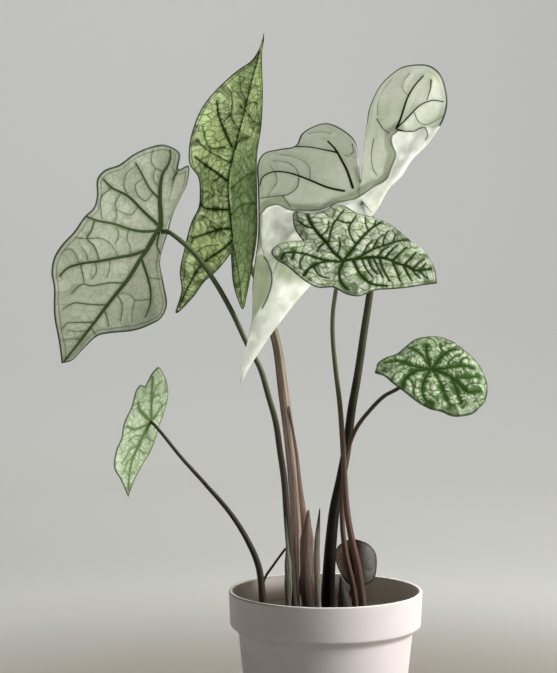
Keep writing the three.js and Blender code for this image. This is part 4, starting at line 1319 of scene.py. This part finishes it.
LOOKS = {
    "left": {
        "pale": paint(182, 186, 170), "pale_too": paint(197, 203, 185), "green": paint(130, 142, 108),
        "vein": paint(86, 104, 64), "edge": paint(68, 74, 56), "ring_share": 0.55, "coarse_share": 0.4,
        "fine_share": 0.15, "drawn_out": 0.7, "edge_width": 1.6, "soft": 0.2, "vein_share": 1.0,
    },
    "upright": {
        "pale": paint(216, 232, 176), "pale_too": paint(230, 240, 198), "green": paint(78, 104, 34),
        "vein": paint(62, 88, 18), "edge": paint(70, 66, 38), "fine_cell": 2.2, "coarse_cell": 4.6,
        "fine_share": 0.5, "fine_line": 0.14, "coarse_line": 0.12, "coarse_share": 0.75, "mottle": 0.6,
        "ring_at": 2.2, "ring_share": 0.6, "halo": 1.8, "zone": double_layer, "lift": 0.3,
        "drawn_out": 0.4,
    },
    "crown": {
        "pale": paint(222, 226, 212), "pale_too": paint(232, 234, 226), "green": paint(198, 204, 180),
        "vein": paint(52, 54, 32), "edge": paint(58, 60, 42), "coarse_share": 0.25, "fine_share": 0.1,
        "mottle": 0.2, "halo_share": 0.15, "side_share": 0.85, "zone": brighter_below_fold,
        "edge_width": 1.6, "edge_share": 0.9, "soft": 0.25, "vein_share": 1.0, "ring_share": 0.15,
    },
    "middle": {
        "pale": paint(246, 255, 230), "pale_too": paint(253, 255, 246), "green": paint(84, 122, 50),
        "vein": paint(54, 80, 24), "edge": paint(74, 84, 58), "fine_cell": 2.4, "coarse_cell": 4.8,
        "fine_share": 0.5, "fine_line": 0.16, "coarse_line": 0.15, "coarse_share": 0.85, "mottle": 0.5,
        "halo": 2.0, "halo_share": 0.45, "ring_at": 2.4, "ring_share": 0.5, "lift": 0.55,
        "drawn_out": 0.5, "bolder": 0.3, "side_share": 0.95, "soft": 0.45, "zone": darker_tip,
    },
    "right": {
        "pale": paint(234, 250, 218), "pale_too": paint(244, 254, 232), "green": paint(76, 114, 42),
        "vein": paint(64, 98, 36), "edge": paint(64, 82, 46), "fine_cell": 2.3, "coarse_cell": 4.4,
        "fine_share": 0.6, "fine_line": 0.2, "coarse_line": 0.18, "coarse_share": 0.9, "mottle": 0.9,
        "halo": 2.2, "halo_share": 0.75, "soft": 0.5, "bolder": -0.2, "edge_width": 2.2,
        "edge_share": 0.75, "ring_at": 3.0, "ring_share": 0.35, "lift": 0.35, "drawn_out": 0.5,
    },
    "low": {
        "pale": paint(224, 238, 210), "pale_too": paint(234, 246, 224), "green": paint(140, 168, 116),
        "vein": paint(130, 156, 104), "edge": paint(96, 106, 84), "fine_cell": 2.6, "coarse_cell": 5.0,
        "fine_share": 0.55, "fine_line": 0.15, "coarse_share": 0.75, "mottle": 0.9, "halo": 2.0,
        "halo_share": 0.45, "soft": 0.4, "edge_width": 1.4,
    },
}


STALK_AROUND = 1.9
STALK_ALONG = 2.0
STALK_DRIFT = 0.06
STREAKS_FADE = (190, 290)
STREAKS_LEFT = 0.35
FIBRE_SHARE = 0.6


def height_ramp(s, height, stops):
    """Colour by height, from stops of (height in mm, red, green, blue)."""
    ramp = s.node("ShaderNodeValToRGB")
    low, high = stops[0][0], stops[-1][0]
    elements = ramp.color_ramp.elements
    elements[0].color = paint(*stops[0][1:])
    elements[1].color = paint(*stops[-1][1:])
    for at, *color in stops[1:-1]:
        elements.new((at - low) / (high - low)).color = paint(*color)
    inputs = {"Value": height, "From Min": low * MM, "From Max": high * MM}
    s.feed(ramp.inputs["Fac"], s.node("ShaderNodeMapRange", inputs).outputs["Result"])
    return ramp.outputs["Color"]


def stalk_material(name, stops, streak, streak_share=0.35, lines=0.0, shine=0.28):
    """Colour changes with height, with fine streaks, fibres and specks."""
    s = Surfacing(name)
    around = s.attribute("around")
    here = s.coordinates()
    height = s.axes(here)["Z"]
    drift = s.swing(s.noise(scale=60, detail=2.0, vector=here), STALK_DRIFT)
    color = height_ramp(s, s.plus(height, drift), stops)
    place = s.vector(s.times(s.math("SINE", around), STALK_AROUND),
                     s.times(s.math("COSINE", around), STALK_AROUND),
                     s.times(s.attribute("along"), STALK_ALONG))
    streaks = s.noise(scale=2.2, detail=4.0, vector=place, roughness=0.6)
    fade = s.over(height, STREAKS_FADE, 1.0, STREAKS_LEFT)
    streaked = s.times(s.step(streaks, low=0.42, high=0.62, to_value=streak_share), fade)
    color = s.mix(streaked, color, streak)
    fibres = s.noise(scale=3.4, detail=3.0, vector=place, roughness=0.7)
    color = s.mix(s.fall(fibres, low=0.38, high=0.47, top=lines), color, paint(58, 46, 38))
    specks = s.noise(scale=900, detail=2.0, vector=here)
    color = s.mix(s.step(specks, low=0.5, high=0.8, to_value=0.2), color, paint(34, 29, 25))
    relief = s.plus(streaks, s.times(fibres, FIBRE_SHARE))
    normal = s.bump(relief, strength=0.45, distance=0.5)
    return s.finish(s.surface(color, roughness=0.5, specular=shine, Normal=normal))


SHEATH_AROUND = 7.0
SHEATH_ALONG = 2.5
SHEATH_THROUGH = 0.35
SHEATH_BLOTCHED = 0.4


def sheath_material(name, base, streak, tip, foot_shade_share):
    """Papery, with long fibres, a dry tip and a foot painted dark as painted shade down in the pot."""
    s = Surfacing(name)
    along = s.attribute("along")
    place = s.vector(s.times(s.attribute("around"), SHEATH_AROUND), s.times(along, SHEATH_ALONG))
    fibres = s.noise(scale=2.4, detail=4.0, vector=place, roughness=0.6)
    blotch = s.noise(scale=90, detail=3.0)
    seams = s.noise(scale=4.5, detail=3.0, vector=place)
    color = s.mix(s.step(fibres, low=0.4, high=0.62), base, streak)
    color = s.mix(s.times(s.step(blotch, low=0.5, high=0.7), SHEATH_BLOTCHED), color, tip)
    color = s.mix(s.step(along, low=0.8, high=0.97), color, tip)
    color = s.mix(s.fall(seams, low=0.4, high=0.47, top=0.55), color, paint(62, 50, 40))
    # Painted shade on the foot, down in the pot.
    painted_shading = s.over(s.axes()["Z"], (FOOT_SHADE_DEEPEST, FOOT_SHADE_GONE), foot_shade_share, 0.0)
    color = s.mix(painted_shading, color, paint(50, 41, 33))
    normal = s.bump(fibres, strength=0.5, distance=0.4)
    front = s.surface(color, roughness=0.6, specular=0.3, Normal=normal)
    return s.finish(s.thin(SHEATH_THROUGH, front, color))


OLD_LOBE_SPAN = (23, 36)
OLD_LOBE_UNEVEN = 6
OLD_LOBE_THROUGH = 0.6
OLD_LOBE_LIT = 0.55


def old_leaf_material():
    """Dry and dark brown, with a thin grey lobe on the right that lets light through."""
    s = Surfacing("old_leaf")
    here = s.coordinates()
    blotch = s.noise(scale=150, detail=4.0, vector=here, roughness=0.6)
    fine = s.noise(scale=600, detail=3.0, vector=here, roughness=0.6)
    uneven = s.plus(s.axes(here)["X"], s.times(blotch, OLD_LOBE_UNEVEN * MM))
    lobe = s.over(uneven, OLD_LOBE_SPAN)
    vein = s.fall(s.attribute("main"), low=-0.2, high=0.4, top=0.5)
    edge = s.fall(s.attribute("margin"), low=0.3, high=1.6, top=0.7)
    color = s.mix(lobe, paint(62, 47, 37), paint(130, 125, 119))
    color = s.mix(s.step(blotch, low=0.45, high=0.7, to_value=0.5), color, paint(66, 52, 42))
    color = s.mix(s.step(fine, low=0.5, high=0.75, to_value=0.3), color, paint(120, 106, 92))
    color = s.mix(vein, color, paint(44, 36, 30))
    color = s.mix(edge, color, paint(44, 36, 30))
    normal = s.bump(fine, strength=0.5, distance=0.5)
    front = s.surface(color, roughness=0.55, specular=0.15, Normal=normal)
    lit = s.mix(OLD_LOBE_LIT, color, paint(222, 220, 218))
    return s.finish(s.thin(s.times(lobe, OLD_LOBE_THROUGH), front, s.mix(edge, lit, color)))


# The pot's painted light and shade inside and on its lip, and its scuffed foot, in mm: heights on the
# wall, ledge and foot, places across, and the lip's depth.
# Then their shares, and how glossy the pot is.
WALL_PAINTED_HIGHLIGHT_RISE = (106.5, 118.5)
WALL_LEFT = (-54, -42)
WALL_RIGHT = (0, 40)
LEDGE_PAINTED_SHADE = (102.5, 107)
LEDGE_LEFT = (-10, 20)
LIP_FROM = 1.2
LIP_SHADE_SPAN = (-55, -10)
SCUFFED_FOOT = (0, 20)
ABOVE_SOIL = 0.5
LEDGE_SHADE_SHARE = 0.92
LIP_SHADE_SHARE = 0.85
SCUFF_SHARES = (0.5, 0.12)
GRAIN_SHARE = 0.08
INSIDE_SPECULAR = 0.04
OUTSIDE_SPECULAR = 0.4


def pot_inside(s, here, height):
    """1 above the soil inside the rim band or the body, and 0 elsewhere."""
    radius = s.radius(here)
    rim, body = (s.times(s.math("LESS_THAN", radius, wall * MM), s.math("GREATER_THAN", height, foot * MM))
                 for wall, foot in ((INNER_WALL, SOIL_TOP + ABOVE_SOIL), (INNER_BODY, INNER_FROM)))
    return s.most(rim, body)


def pot_inside_painted_shading(s, across, height):
    """Painted light and shade inside the pot: painted shade low down, on the far left and on the ledge, a
    painted highlight high on the wall, and paler at the right as painted light.
    """
    # Painted shade low on the inner wall, rising to a painted highlight near the rim.
    painted_shading = s.mix(s.over(height, WALL_PAINTED_HIGHLIGHT_RISE), paint(84, 77, 67), paint(166, 158, 154))
    # Painted shade on the far left of the inner wall.
    painted_shading = s.mix(s.over(across, WALL_LEFT), paint(96, 89, 80), painted_shading)
    # Painted light on the shaded right of the inner wall.
    painted_shading = s.mix(s.over(across, WALL_RIGHT), painted_shading, paint(202, 194, 184))
    # Painted shade on the ledge at the left, over its highlight line.
    ledge = s.times(s.over(height, LEDGE_PAINTED_SHADE, LEDGE_SHADE_SHARE, 0.0), s.over(across, LEDGE_LEFT, 1.0, 0.0))
    return s.mix(ledge, painted_shading, paint(60, 54, 46))


def pot_material():
    """Smooth white moulded plastic with a faint bloom and scuffs low down, with painted light and shade
    inside and painted shade on the left of the lip.
    """
    s = Surfacing("pot_white")
    here = s.coordinates()
    axes = s.axes(here)
    cloud = s.noise(scale=18, detail=3.0, vector=here)
    grain = s.noise(scale=1400, detail=2.0, vector=here)
    waves = s.noise(scale=55, detail=2.0, vector=here)
    inner = pot_inside(s, here, axes["Z"])
    color = s.mix(s.step(cloud, low=0.35, high=0.7), paint(214, 206, 206), paint(206, 198, 198))
    color = s.mix(inner, color, pot_inside_painted_shading(s, axes["X"], axes["Z"]))
    # Painted shade along the lip's left side.
    lip = s.math("GREATER_THAN", axes["Z"], (POT_HEIGHT - LIP_FROM) * MM)
    lip_painted_shade = s.times(lip, s.over(axes["X"], LIP_SHADE_SPAN, LIP_SHADE_SHARE, 0.0))
    color = s.mix(lip_painted_shade, color, paint(126, 121, 112))
    scuff = s.times(s.step(grain, low=0.58, high=0.75), s.over(axes["Z"], SCUFFED_FOOT, *SCUFF_SHARES))
    color = s.mix(scuff, color, paint(190, 180, 172))
    rough = s.step(cloud, low=0.3, high=0.7, from_value=0.42, to_value=0.52)
    specular = s.step(inner, 0.0, 1.0, OUTSIDE_SPECULAR, INSIDE_SPECULAR)
    normal = s.bump(s.plus(waves, s.times(grain, GRAIN_SHARE)), strength=0.12, distance=0.6)
    return s.finish(s.surface(color, rough, specular, Normal=normal))


def soil_material(name, dark, light, scale):
    """Grains of two tones, darker where it is damp."""
    s = Surfacing(name)
    here = s.coordinates()
    grain = s.noise(scale=scale, detail=6.0, vector=here, roughness=0.65)
    damp = s.noise(scale=40, detail=2.0, vector=here)
    color = s.mix(s.step(grain, low=0.38, high=0.66), dark, light)
    color = s.mix(s.step(damp, low=0.45, high=0.65, to_value=0.4), color, dark)
    normal = s.bump(grain, strength=0.7, distance=0.8)
    return s.finish(s.surface(color, roughness=0.92, specular=0.2, Normal=normal))


# Pot and soil

def lathe(profile, segments):
    """Turns a profile of [radius, height] about the upright axis. It starts and ends on the axis."""
    turn = np.linspace(0, 2 * math.pi, segments, endpoint=False)
    profile = np.array(profile, float)
    rings = profile[1:-1]
    places = np.column_stack([
        np.outer(rings[:, 0], np.cos(turn)).ravel(),
        np.outer(rings[:, 0], np.sin(turn)).ravel(),
        np.repeat(rings[:, 1], segments)])
    ring = np.arange(segments)
    after = (ring + 1) % segments
    faces = []
    for i in range(len(rings) - 1):
        a, b = ring + i * segments, after + i * segments
        faces.append(np.column_stack([a, b, b + segments]))
        faces.append(np.column_stack([a, b + segments, a + segments]))
    low, high = len(places), len(places) + 1
    last = (len(rings) - 1) * segments
    faces.append(np.column_stack([after, ring, np.full(segments, low)]))
    faces.append(np.column_stack([ring + last, after + last, np.full(segments, high)]))
    places = np.vstack([places, [0, 0, profile[0][1]], [0, 0, profile[-1][1]]])
    return places, np.vstack(faces)


def inner_radius(height):
    """The body's inner wall at a height."""
    slope = (BODY_TOP_RADIUS - BASE_RADIUS) / (POT_HEIGHT - RIM_BAND_HEIGHT - RIM_LEDGE_DROP)
    return BASE_RADIUS + slope * height - WALL


CORNER_ROOM = 2.1


def rounded(profile, radii, steps=5):
    """Rounds the corners of a profile, each by its own radius."""
    points = [np.array(p, float) for p in profile]
    result = [points[0]]
    for before, here, after, radius in zip(points, points[1:], points[2:], radii[1:-1]):
        one = (before - here) / np.linalg.norm(before - here)
        other = (after - here) / np.linalg.norm(after - here)
        room = min(np.linalg.norm(before - here), np.linalg.norm(after - here))
        reach = min(radius, room / CORNER_ROOM)
        if reach <= 0:
            result.append(here)
            continue
        for i in range(steps + 1):
            t = i / steps
            start, end = here + one * reach, here + other * reach
            result.append((1 - t) ** 2 * start + 2 * t * (1 - t) * here + t ** 2 * end)
    result.append(points[-1])
    return result


POT_SEGMENTS = 144
LEDGE_FOOT_ROUND = 2.0
INNER_LEDGE_ROUND = 1.5
INNER_FOOT_ROUND = 1.0
FLOOR_ROUND = 1.2
DRAIN_SIDES = 32


def pot_piece(material):
    band_foot = POT_HEIGHT - RIM_BAND_HEIGHT
    corners = [
        ([0, 0], 0),
        ([BASE_RADIUS, 0], BASE_ROUND),
        ([BODY_TOP_RADIUS, band_foot - RIM_LEDGE_DROP], LEDGE_FOOT_ROUND),
        ([RIM_RADIUS - RIM_BAND_TAPER, band_foot], LEDGE_EDGE),
        ([RIM_RADIUS, POT_HEIGHT], LIP_ROUND),
        ([RIM_RADIUS - WALL, POT_HEIGHT], LIP_ROUND),
        ([RIM_RADIUS - WALL - RIM_BAND_TAPER, band_foot + RIM_LEDGE_DROP], INNER_LEDGE_ROUND),
        ([inner_radius(band_foot), band_foot], INNER_FOOT_ROUND),
        ([inner_radius(FLOOR), FLOOR], FLOOR_ROUND),
        ([0, FLOOR], 0),
    ]
    profile = rounded([p for p, radius in corners], [radius for p, radius in corners])
    places, faces = lathe(profile, POT_SEGMENTS)
    piece = mesh_object("flowerpot", places, facing_out(places, faces), material)
    cut_drains(piece)
    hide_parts("pot")


def cut_drains(piece):
    for i in range(DRAIN_HOLES):
        angle = 2 * math.pi * (i + 0.5) / DRAIN_HOLES
        middle = Vector((DRAIN_CIRCLE * math.cos(angle), DRAIN_CIRCLE * math.sin(angle), FLOOR / 2))
        bpy.ops.mesh.primitive_cylinder_add(
            vertices=DRAIN_SIDES, radius=DRAIN_RADIUS * MM, depth=3 * FLOOR * MM, location=middle * MM)
        cutter = bpy.context.object
        cut = piece.modifiers.new("drain", "BOOLEAN")
        cut.object = cutter
        cut.operation = "DIFFERENCE"
        cut.solver = "EXACT"
        bpy.context.view_layer.objects.active = piece
        bpy.ops.object.modifier_apply(modifier=cut.name)
        bpy.data.objects.remove(cutter, do_unlink=True)


SOIL_RINGS = 90
SOIL_SEGMENTS = 260
SOIL_EDGE = SOIL_TOP - SOIL_MOUND
SOIL_RADIUS = inner_radius(SOIL_EDGE) - SOIL_GAP
SOIL_WALL_BELOW = 1
SOIL_TOP_BELOW = 0.5
SOIL_MIDDLE = 0.012
MOUND_POWER = 0.7
SUNK = 0.8
GRAIN_RAISED = 0.2
GRAIN_WALL_GAP = 1
EDGE_BAND = (0, 2)
EDGE_BUMPS = 0.3

# The soil's bumps: (height, size)
BUMPS = [(1.1, 9.0), (0.8, 3.6), (0.45, 1.7)]


def mound(share):
    """The soil's plain height at a share of its radius."""
    return SOIL_EDGE + SOIL_MOUND * (1 - share ** 2) ** MOUND_POWER


def soil_piece(material):
    bottom = FLOOR + SOIL_GAP
    profile = [[0, bottom], [inner_radius(bottom) - SOIL_GAP, bottom],
               [SOIL_RADIUS, SOIL_EDGE - SOIL_WALL_BELOW]]
    profile += [[SOIL_RADIUS * share, mound(share)] for share in np.linspace(1, SOIL_MIDDLE, SOIL_RINGS)]
    profile.append([0, SOIL_TOP])
    places, faces = lathe(profile, SOIL_SEGMENTS)
    top = places[:, 2] > SOIL_EDGE - SOIL_TOP_BELOW
    rim = smooth(*EDGE_BAND, SOIL_RADIUS - np.hypot(places[:, 0], places[:, 1]))
    bumps = sum(height * roughly(places, size) for height, size in BUMPS)
    places[:, 2] += np.where(top, bumps * (EDGE_BUMPS + (1 - EDGE_BUMPS) * rim) - SUNK, 0)
    piece = mesh_object("potting_mix", places, facing_out(places, faces), material)
    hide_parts("soil")


LUMP_NOISE = 1.3
LUMP_SHIFT = 50
LUMP_ACROSS = (0.7, 1.3)
LUMP_UP = (0.5, 0.9)


def lump(rng, size, roughness):
    """A small uneven stone: a sphere's points pushed in and out."""
    golden = (1 + 5 ** 0.5) / 2
    corners = [(-1, golden, 0), (1, golden, 0), (-1, -golden, 0), (1, -golden, 0), (0, -1, golden),
               (0, 1, golden), (0, -1, -golden), (0, 1, -golden), (golden, 0, -1), (golden, 0, 1),
               (-golden, 0, -1), (-golden, 0, 1)]
    faces = [(0, 11, 5), (0, 5, 1), (0, 1, 7), (0, 7, 10), (0, 10, 11), (1, 5, 9), (5, 11, 4), (11, 10, 2),
             (10, 7, 6), (7, 1, 8), (3, 9, 4), (3, 4, 2), (3, 2, 6), (3, 6, 8), (3, 8, 9), (4, 9, 5),
             (2, 4, 11), (6, 2, 10), (8, 6, 7), (9, 8, 1)]
    points = [Vector(c).normalized() for c in corners]
    middles = {}
    finer = []
    for a, b, c in faces:
        mid = []
        for one, other in ((a, b), (b, c), (c, a)):
            key = (min(one, other), max(one, other))
            if key not in middles:
                middles[key] = len(points)
                points.append(((points[one] + points[other]) / 2).normalized())
            mid.append(middles[key])
        finer += [(a, mid[0], mid[2]), (b, mid[1], mid[0]), (c, mid[2], mid[1]), tuple(mid)]
    shape = np.array(points)
    shift = Vector([rng.random() * LUMP_SHIFT for _ in range(3)])
    push = np.array([noise.noise(Vector(p) * LUMP_NOISE + shift) for p in shape])
    shape = shape * (1 + roughness * push)[:, None]
    squash = np.array([rng.uniform(*span) for span in (LUMP_ACROSS, LUMP_ACROSS, LUMP_UP)])
    return shape * squash * size, np.array(finer)


def scatter(name, count, sizes, material, slot, seed, roughness=0.7):
    """One piece of many lumps, strewn evenly over the soil."""
    rng = random.Random(seed)
    points = []
    faces = []
    total = 0
    for _ in range(count):
        size = rng.uniform(*sizes)
        reach = (SOIL_RADIUS - size - GRAIN_WALL_GAP) * math.sqrt(rng.random())
        angle = rng.uniform(0, 2 * math.pi)
        height = mound(reach / SOIL_RADIUS) - SUNK + GRAIN_RAISED * size
        place = np.array([reach * math.cos(angle), reach * math.sin(angle), height])
        shape, triangles = lump(rng, size, roughness)
        spin = rng.uniform(0, 2 * math.pi)
        across, up = math.cos(spin), math.sin(spin)
        turned = shape @ np.array([[across, -up, 0], [up, across, 0], [0, 0, 1]])
        points.append(turned + place)
        faces.append(triangles + total)
        total += len(shape)
    piece = mesh_object(name, np.vstack(points), np.vstack(faces), material)


# Stage: a round pale sweep, so that every side has a backdrop, then lights and camera

SWEEP_FLOOR_RADIUS = 1.7
SWEEP_BEND = 1.1
SWEEP_TOP = 2.0
SWEEP_SEGMENTS = 96
SWEEP_STEPS = 16
SWEEP_HIGH = 2.5
FLOOR_NEAR = 0.2
FLOOR_FAR = 0.75
NEAR_KEY_FROM = 0.7
NEAR_KEY_TO = 1.35
NEAR_KEY_LOW = 0.4
NEAR_KEY_HIGH = 0.8
NEAR_KEY_SHARE = 0.85


def backdrop_material():
    """Grey near the pot, paler further out, and painted darker close under the key lamp, as painted shade
    against its glare.
    """
    s = Surfacing("backdrop")
    here = s.coordinates()
    reach = s.radius(here)
    axes = s.axes(here)
    # Painted shade where the key lamp lights the sweep most.
    painted_shade_under_key = s.times(s.step(axes["X"], NEAR_KEY_FROM, NEAR_KEY_TO, 0.0, NEAR_KEY_SHARE),
                        s.fall(axes["Z"], NEAR_KEY_LOW, NEAR_KEY_HIGH))
    color = s.mix(s.step(reach, FLOOR_NEAR, FLOOR_FAR), paint(122, 117, 109), paint(178, 178, 175))
    color = s.mix(s.step(reach, SWEEP_FLOOR_RADIUS, SWEEP_HIGH), color, paint(166, 167, 166))
    color = s.mix(painted_shade_under_key, color, paint(88, 88, 86))
    return s.finish(s.surface(color, roughness=0.9, specular=0.1))


def stage():
    section = [(0, 0), (SWEEP_FLOOR_RADIUS, 0)]
    for turn in np.linspace(0, math.pi / 2, SWEEP_STEPS + 1)[1:]:
        section.append((SWEEP_FLOOR_RADIUS + SWEEP_BEND * math.sin(turn),
                        SWEEP_BEND * (1 - math.cos(turn))))
    section.append((SWEEP_FLOOR_RADIUS + SWEEP_BEND, SWEEP_TOP))
    turns = np.linspace(0, 2 * math.pi, SWEEP_SEGMENTS, endpoint=False)
    points = [(r * math.cos(turn), r * math.sin(turn), z) for r, z in section for turn in turns]
    count = SWEEP_SEGMENTS
    faces = []
    for i in range(len(section) - 1):
        low, high = i * count, (i + 1) * count
        faces += [(low + j, low + (j + 1) % count, high + (j + 1) % count, high + j) for j in range(count)]
    mesh = bpy.data.meshes.new("backdrop")
    mesh.from_pydata(points, [], faces)
    mesh.shade_smooth()
    mesh.materials.append(backdrop_material())
    backdrop = bpy.data.objects.new("backdrop", mesh)
    bpy.context.scene.collection.objects.link(backdrop)


LAMPS = {
    "key": {"place": (2.15, -0.5, 1.35), "target": (0, 0, 0.3), "size": 1.3, "power": 109,
            "color": (1.0, 0.99, 0.965)},
    "backdrop_light": {"place": (-0.3, 1.3, 2.5), "target": (0, 2.8, 0.5), "size": 1.0, "power": 46,
                       "color": (1.0, 0.995, 0.975)},
    "glow": {"place": (0.9, 1.5, 1.5), "target": (-0.03, 0, 0.38), "size": 0.8, "power": 4,
             "color": (1.0, 0.995, 0.97), "spread": 40},
}
WORLD_COLOR = (0.96, 0.985, 1.0, 1)
WORLD_STRENGTH = 0.08


def area_light(name, place, target, size, power, color, spread=180):
    light = bpy.data.lights.new(name, "AREA")
    light.shape = "DISK"
    light.size = size
    light.energy = power
    light.color = color
    light.spread = math.radians(spread)
    lamp = bpy.data.objects.new(name, light)
    lamp.location = place
    lamp.rotation_euler = (Vector(target) - Vector(place)).to_track_quat("-Z", "Y").to_euler()
    lamp.visible_camera = False
    bpy.context.scene.collection.objects.link(lamp)


def lights():
    for name, lamp in LAMPS.items():
        area_light(name, **lamp)
    world = bpy.data.worlds.new("studio")
    world.use_nodes = True
    background = world.node_tree.nodes["Background"]
    background.inputs["Color"].default_value = WORLD_COLOR
    background.inputs["Strength"].default_value = WORLD_STRENGTH
    bpy.context.scene.world = world


def camera():
    data = bpy.data.cameras.new("camera")
    data.sensor_fit = "VERTICAL"
    data.sensor_height = SENSOR
    data.lens = FOCAL_PIXELS / PICTURE_HEIGHT * SENSOR
    made = bpy.data.objects.new("camera", data)
    made.location = Vector(EYE) * MM
    made.rotation_euler = (math.radians(90 - PITCH_DOWN), 0, 0)
    bpy.context.scene.collection.objects.link(made)
    bpy.context.scene.camera = made


# Everything together

# Stops are (height in mm, red, green, blue)
STALK_LOOKS = {
    "left": {
        "stops": [(60, 40, 32, 26), (110, 46, 38, 30), (184, 66, 57, 46), (240, 66, 66, 48),
                  (300, 80, 86, 62), (372, 82, 96, 58)],
        "streak": paint(104, 98, 80),
    },
    "upright": {
        # The dark stops low down, at 60 and 108 mm, are painted shade down in the pot.
        "stops": [(60, 44, 34, 28), (108, 58, 46, 38), (136, 126, 103, 91), (165, 168, 141, 127),
                  (212, 158, 134, 119), (250, 122, 106, 86), (290, 104, 96, 66), (330, 88, 94, 56),
                  (370, 106, 126, 62)],
        "streak": paint(226, 202, 190), "streak_share": 0.8, "lines": 0.8,
    },
    "crown": {
        "stops": [(60, 8, 7, 6), (145, 10, 9, 8), (200, 38, 31, 25), (250, 38, 35, 27),
                  (290, 72, 74, 58), (340, 74, 76, 56), (395, 122, 124, 96)],
        "streak": paint(84, 76, 62), "streak_share": 0.12, "shine": 0.12,
    },
    "middle": {
        "stops": [(60, 34, 22, 17), (125, 66, 46, 38), (170, 88, 64, 54), (240, 82, 74, 62),
                  (300, 92, 96, 74), (352, 136, 144, 110)],
        "streak": paint(148, 118, 104),
    },
    "right": {
        "stops": [(60, 36, 24, 19), (125, 60, 40, 32), (170, 82, 60, 50), (230, 70, 62, 48),
                  (276, 66, 64, 48)],
        "streak": paint(134, 106, 92),
    },
    "low": {
        "stops": [(60, 46, 32, 25), (115, 58, 42, 33), (135, 36, 31, 22), (180, 38, 36, 25),
                  (240, 56, 58, 38)],
        "streak": paint(66, 58, 44),
    },
}
SPENT_LOOK = {"stops": [(60, 50, 42, 36), (160, 58, 50, 42)], "streak": paint(96, 84, 72)}
WING_LOOK = {"base": paint(150, 126, 112), "streak": paint(212, 188, 176), "tip": paint(124, 106, 90),
             "foot_shade_share": 0.85}
SHEATH_LOOKS = {
    "sheath_brown": {"base": paint(128, 106, 92), "streak": paint(190, 168, 154),
                     "tip": paint(158, 142, 128), "foot_shade_share": 0.85},
    "sheath_pale": {"base": paint(158, 149, 132), "streak": paint(184, 174, 158),
                    "tip": paint(52, 46, 38), "foot_shade_share": 0.35},
    "sheath_left": {"base": paint(108, 104, 90), "streak": paint(190, 198, 168),
                    "tip": paint(112, 122, 84), "foot_shade_share": 0.6},
    "sheath_short": {"base": paint(58, 58, 48), "streak": paint(96, 94, 82),
                     "tip": paint(46, 46, 38), "foot_shade_share": 0.3},
}
TAPER = 1.6
LEAF_GROOVES = 0.07
STALK_SHORT = 0.6
SMALL_STALK = {"sides": 16, "steps": 60}
OLD_GROOVES = 0.08
SPENT_GROOVES = 0.12
CRUMBS = {"count": 620, "sizes": (0.6, 1.9), "seed": SEED}
PERLITE = {"count": 70, "sizes": (0.6, 1.4), "seed": SEED + 1, "roughness": 0.4}


def leaves():
    for name, leaf in LEAVES.items():
        blade = blade_piece(name, leaf, leaf_material(f"leaf_{name}", {**BASE_LOOK, **LOOKS[name]}))
        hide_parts(f"blade_{name}")
        foot, top = leaf["radii"]
        radius_at = stalk_radius(foot, top, leaf.get("taper", TAPER))
        short = STALK_SHORT * top
        places, faces, values = tube(leaf["stalk"], radius_at, grooves=LEAF_GROOVES, short=short)
        look = stalk_material(f"stalk_{name}", **STALK_LOOKS[name])
        stem = mesh_object(f"petiole_{name}", places, faces, look, values)
        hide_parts(f"stalk_{name}")


def stalk_wing():
    points, faces, values = strip(WING)
    wing = mesh_object("petiole_wing", points, faces, sheath_material("wing", **WING_LOOK), values)
    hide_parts("stalk_upright")


def old_leaf_and_spent_stalk():
    old = blade_piece("old", OLD, old_leaf_material())
    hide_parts("old_leaf")
    dark = stalk_material("stalk_spent", **SPENT_LOOK)
    radius_at = stalk_radius(*OLD_RADII, TAPER)
    places, faces, values = tube(OLD_STALK, radius_at, grooves=OLD_GROOVES, **SMALL_STALK)
    stem = mesh_object("old_petiole", places, faces, dark, values)
    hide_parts("old_leaf")

    radius_at = stalk_radius(*SPENT_RADII, TAPER)
    places, faces, values = tube(SPENT_STALK, radius_at, grooves=SPENT_GROOVES, **SMALL_STALK)
    spent = mesh_object("spent_petiole", places, faces, dark, values)
    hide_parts("spent_stalk")


def sheaths():
    for name, shape in SHEATHS.items():
        points, faces, values = strip(shape)
        look = sheath_material(name, **SHEATH_LOOKS[name])
        piece = mesh_object(f"papery_{name}", points, faces, look, values)
        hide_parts(name)


def soil_and_pot():
    pot_piece(pot_material())
    soil_piece(soil_material("potting_soil", paint(34, 26, 20), paint(78, 62, 48), scale=500))
    crumb = soil_material("soil_crumbs", paint(38, 29, 22), paint(92, 72, 54), scale=700)
    scatter("soil_crumbs", material=crumb, slot="potting_soil", **CRUMBS)
    perlite = soil_material("perlite", paint(176, 170, 160), paint(214, 210, 202), scale=900)
    scatter("perlite_grains", material=perlite, slot="potting_soil", **PERLITE)
    skin = soil_material("tuber_skin", paint(78, 54, 38), paint(128, 96, 70), scale=300)
    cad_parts["tuber"].data.materials.clear()
    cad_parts["tuber"].data.materials.append(skin)


camera()
stage()
lights()
bpy.context.scene.view_settings.view_transform = "Standard"
soil_and_pot()
leaves()
stalk_wing()
old_leaf_and_spent_stalk()
sheaths()
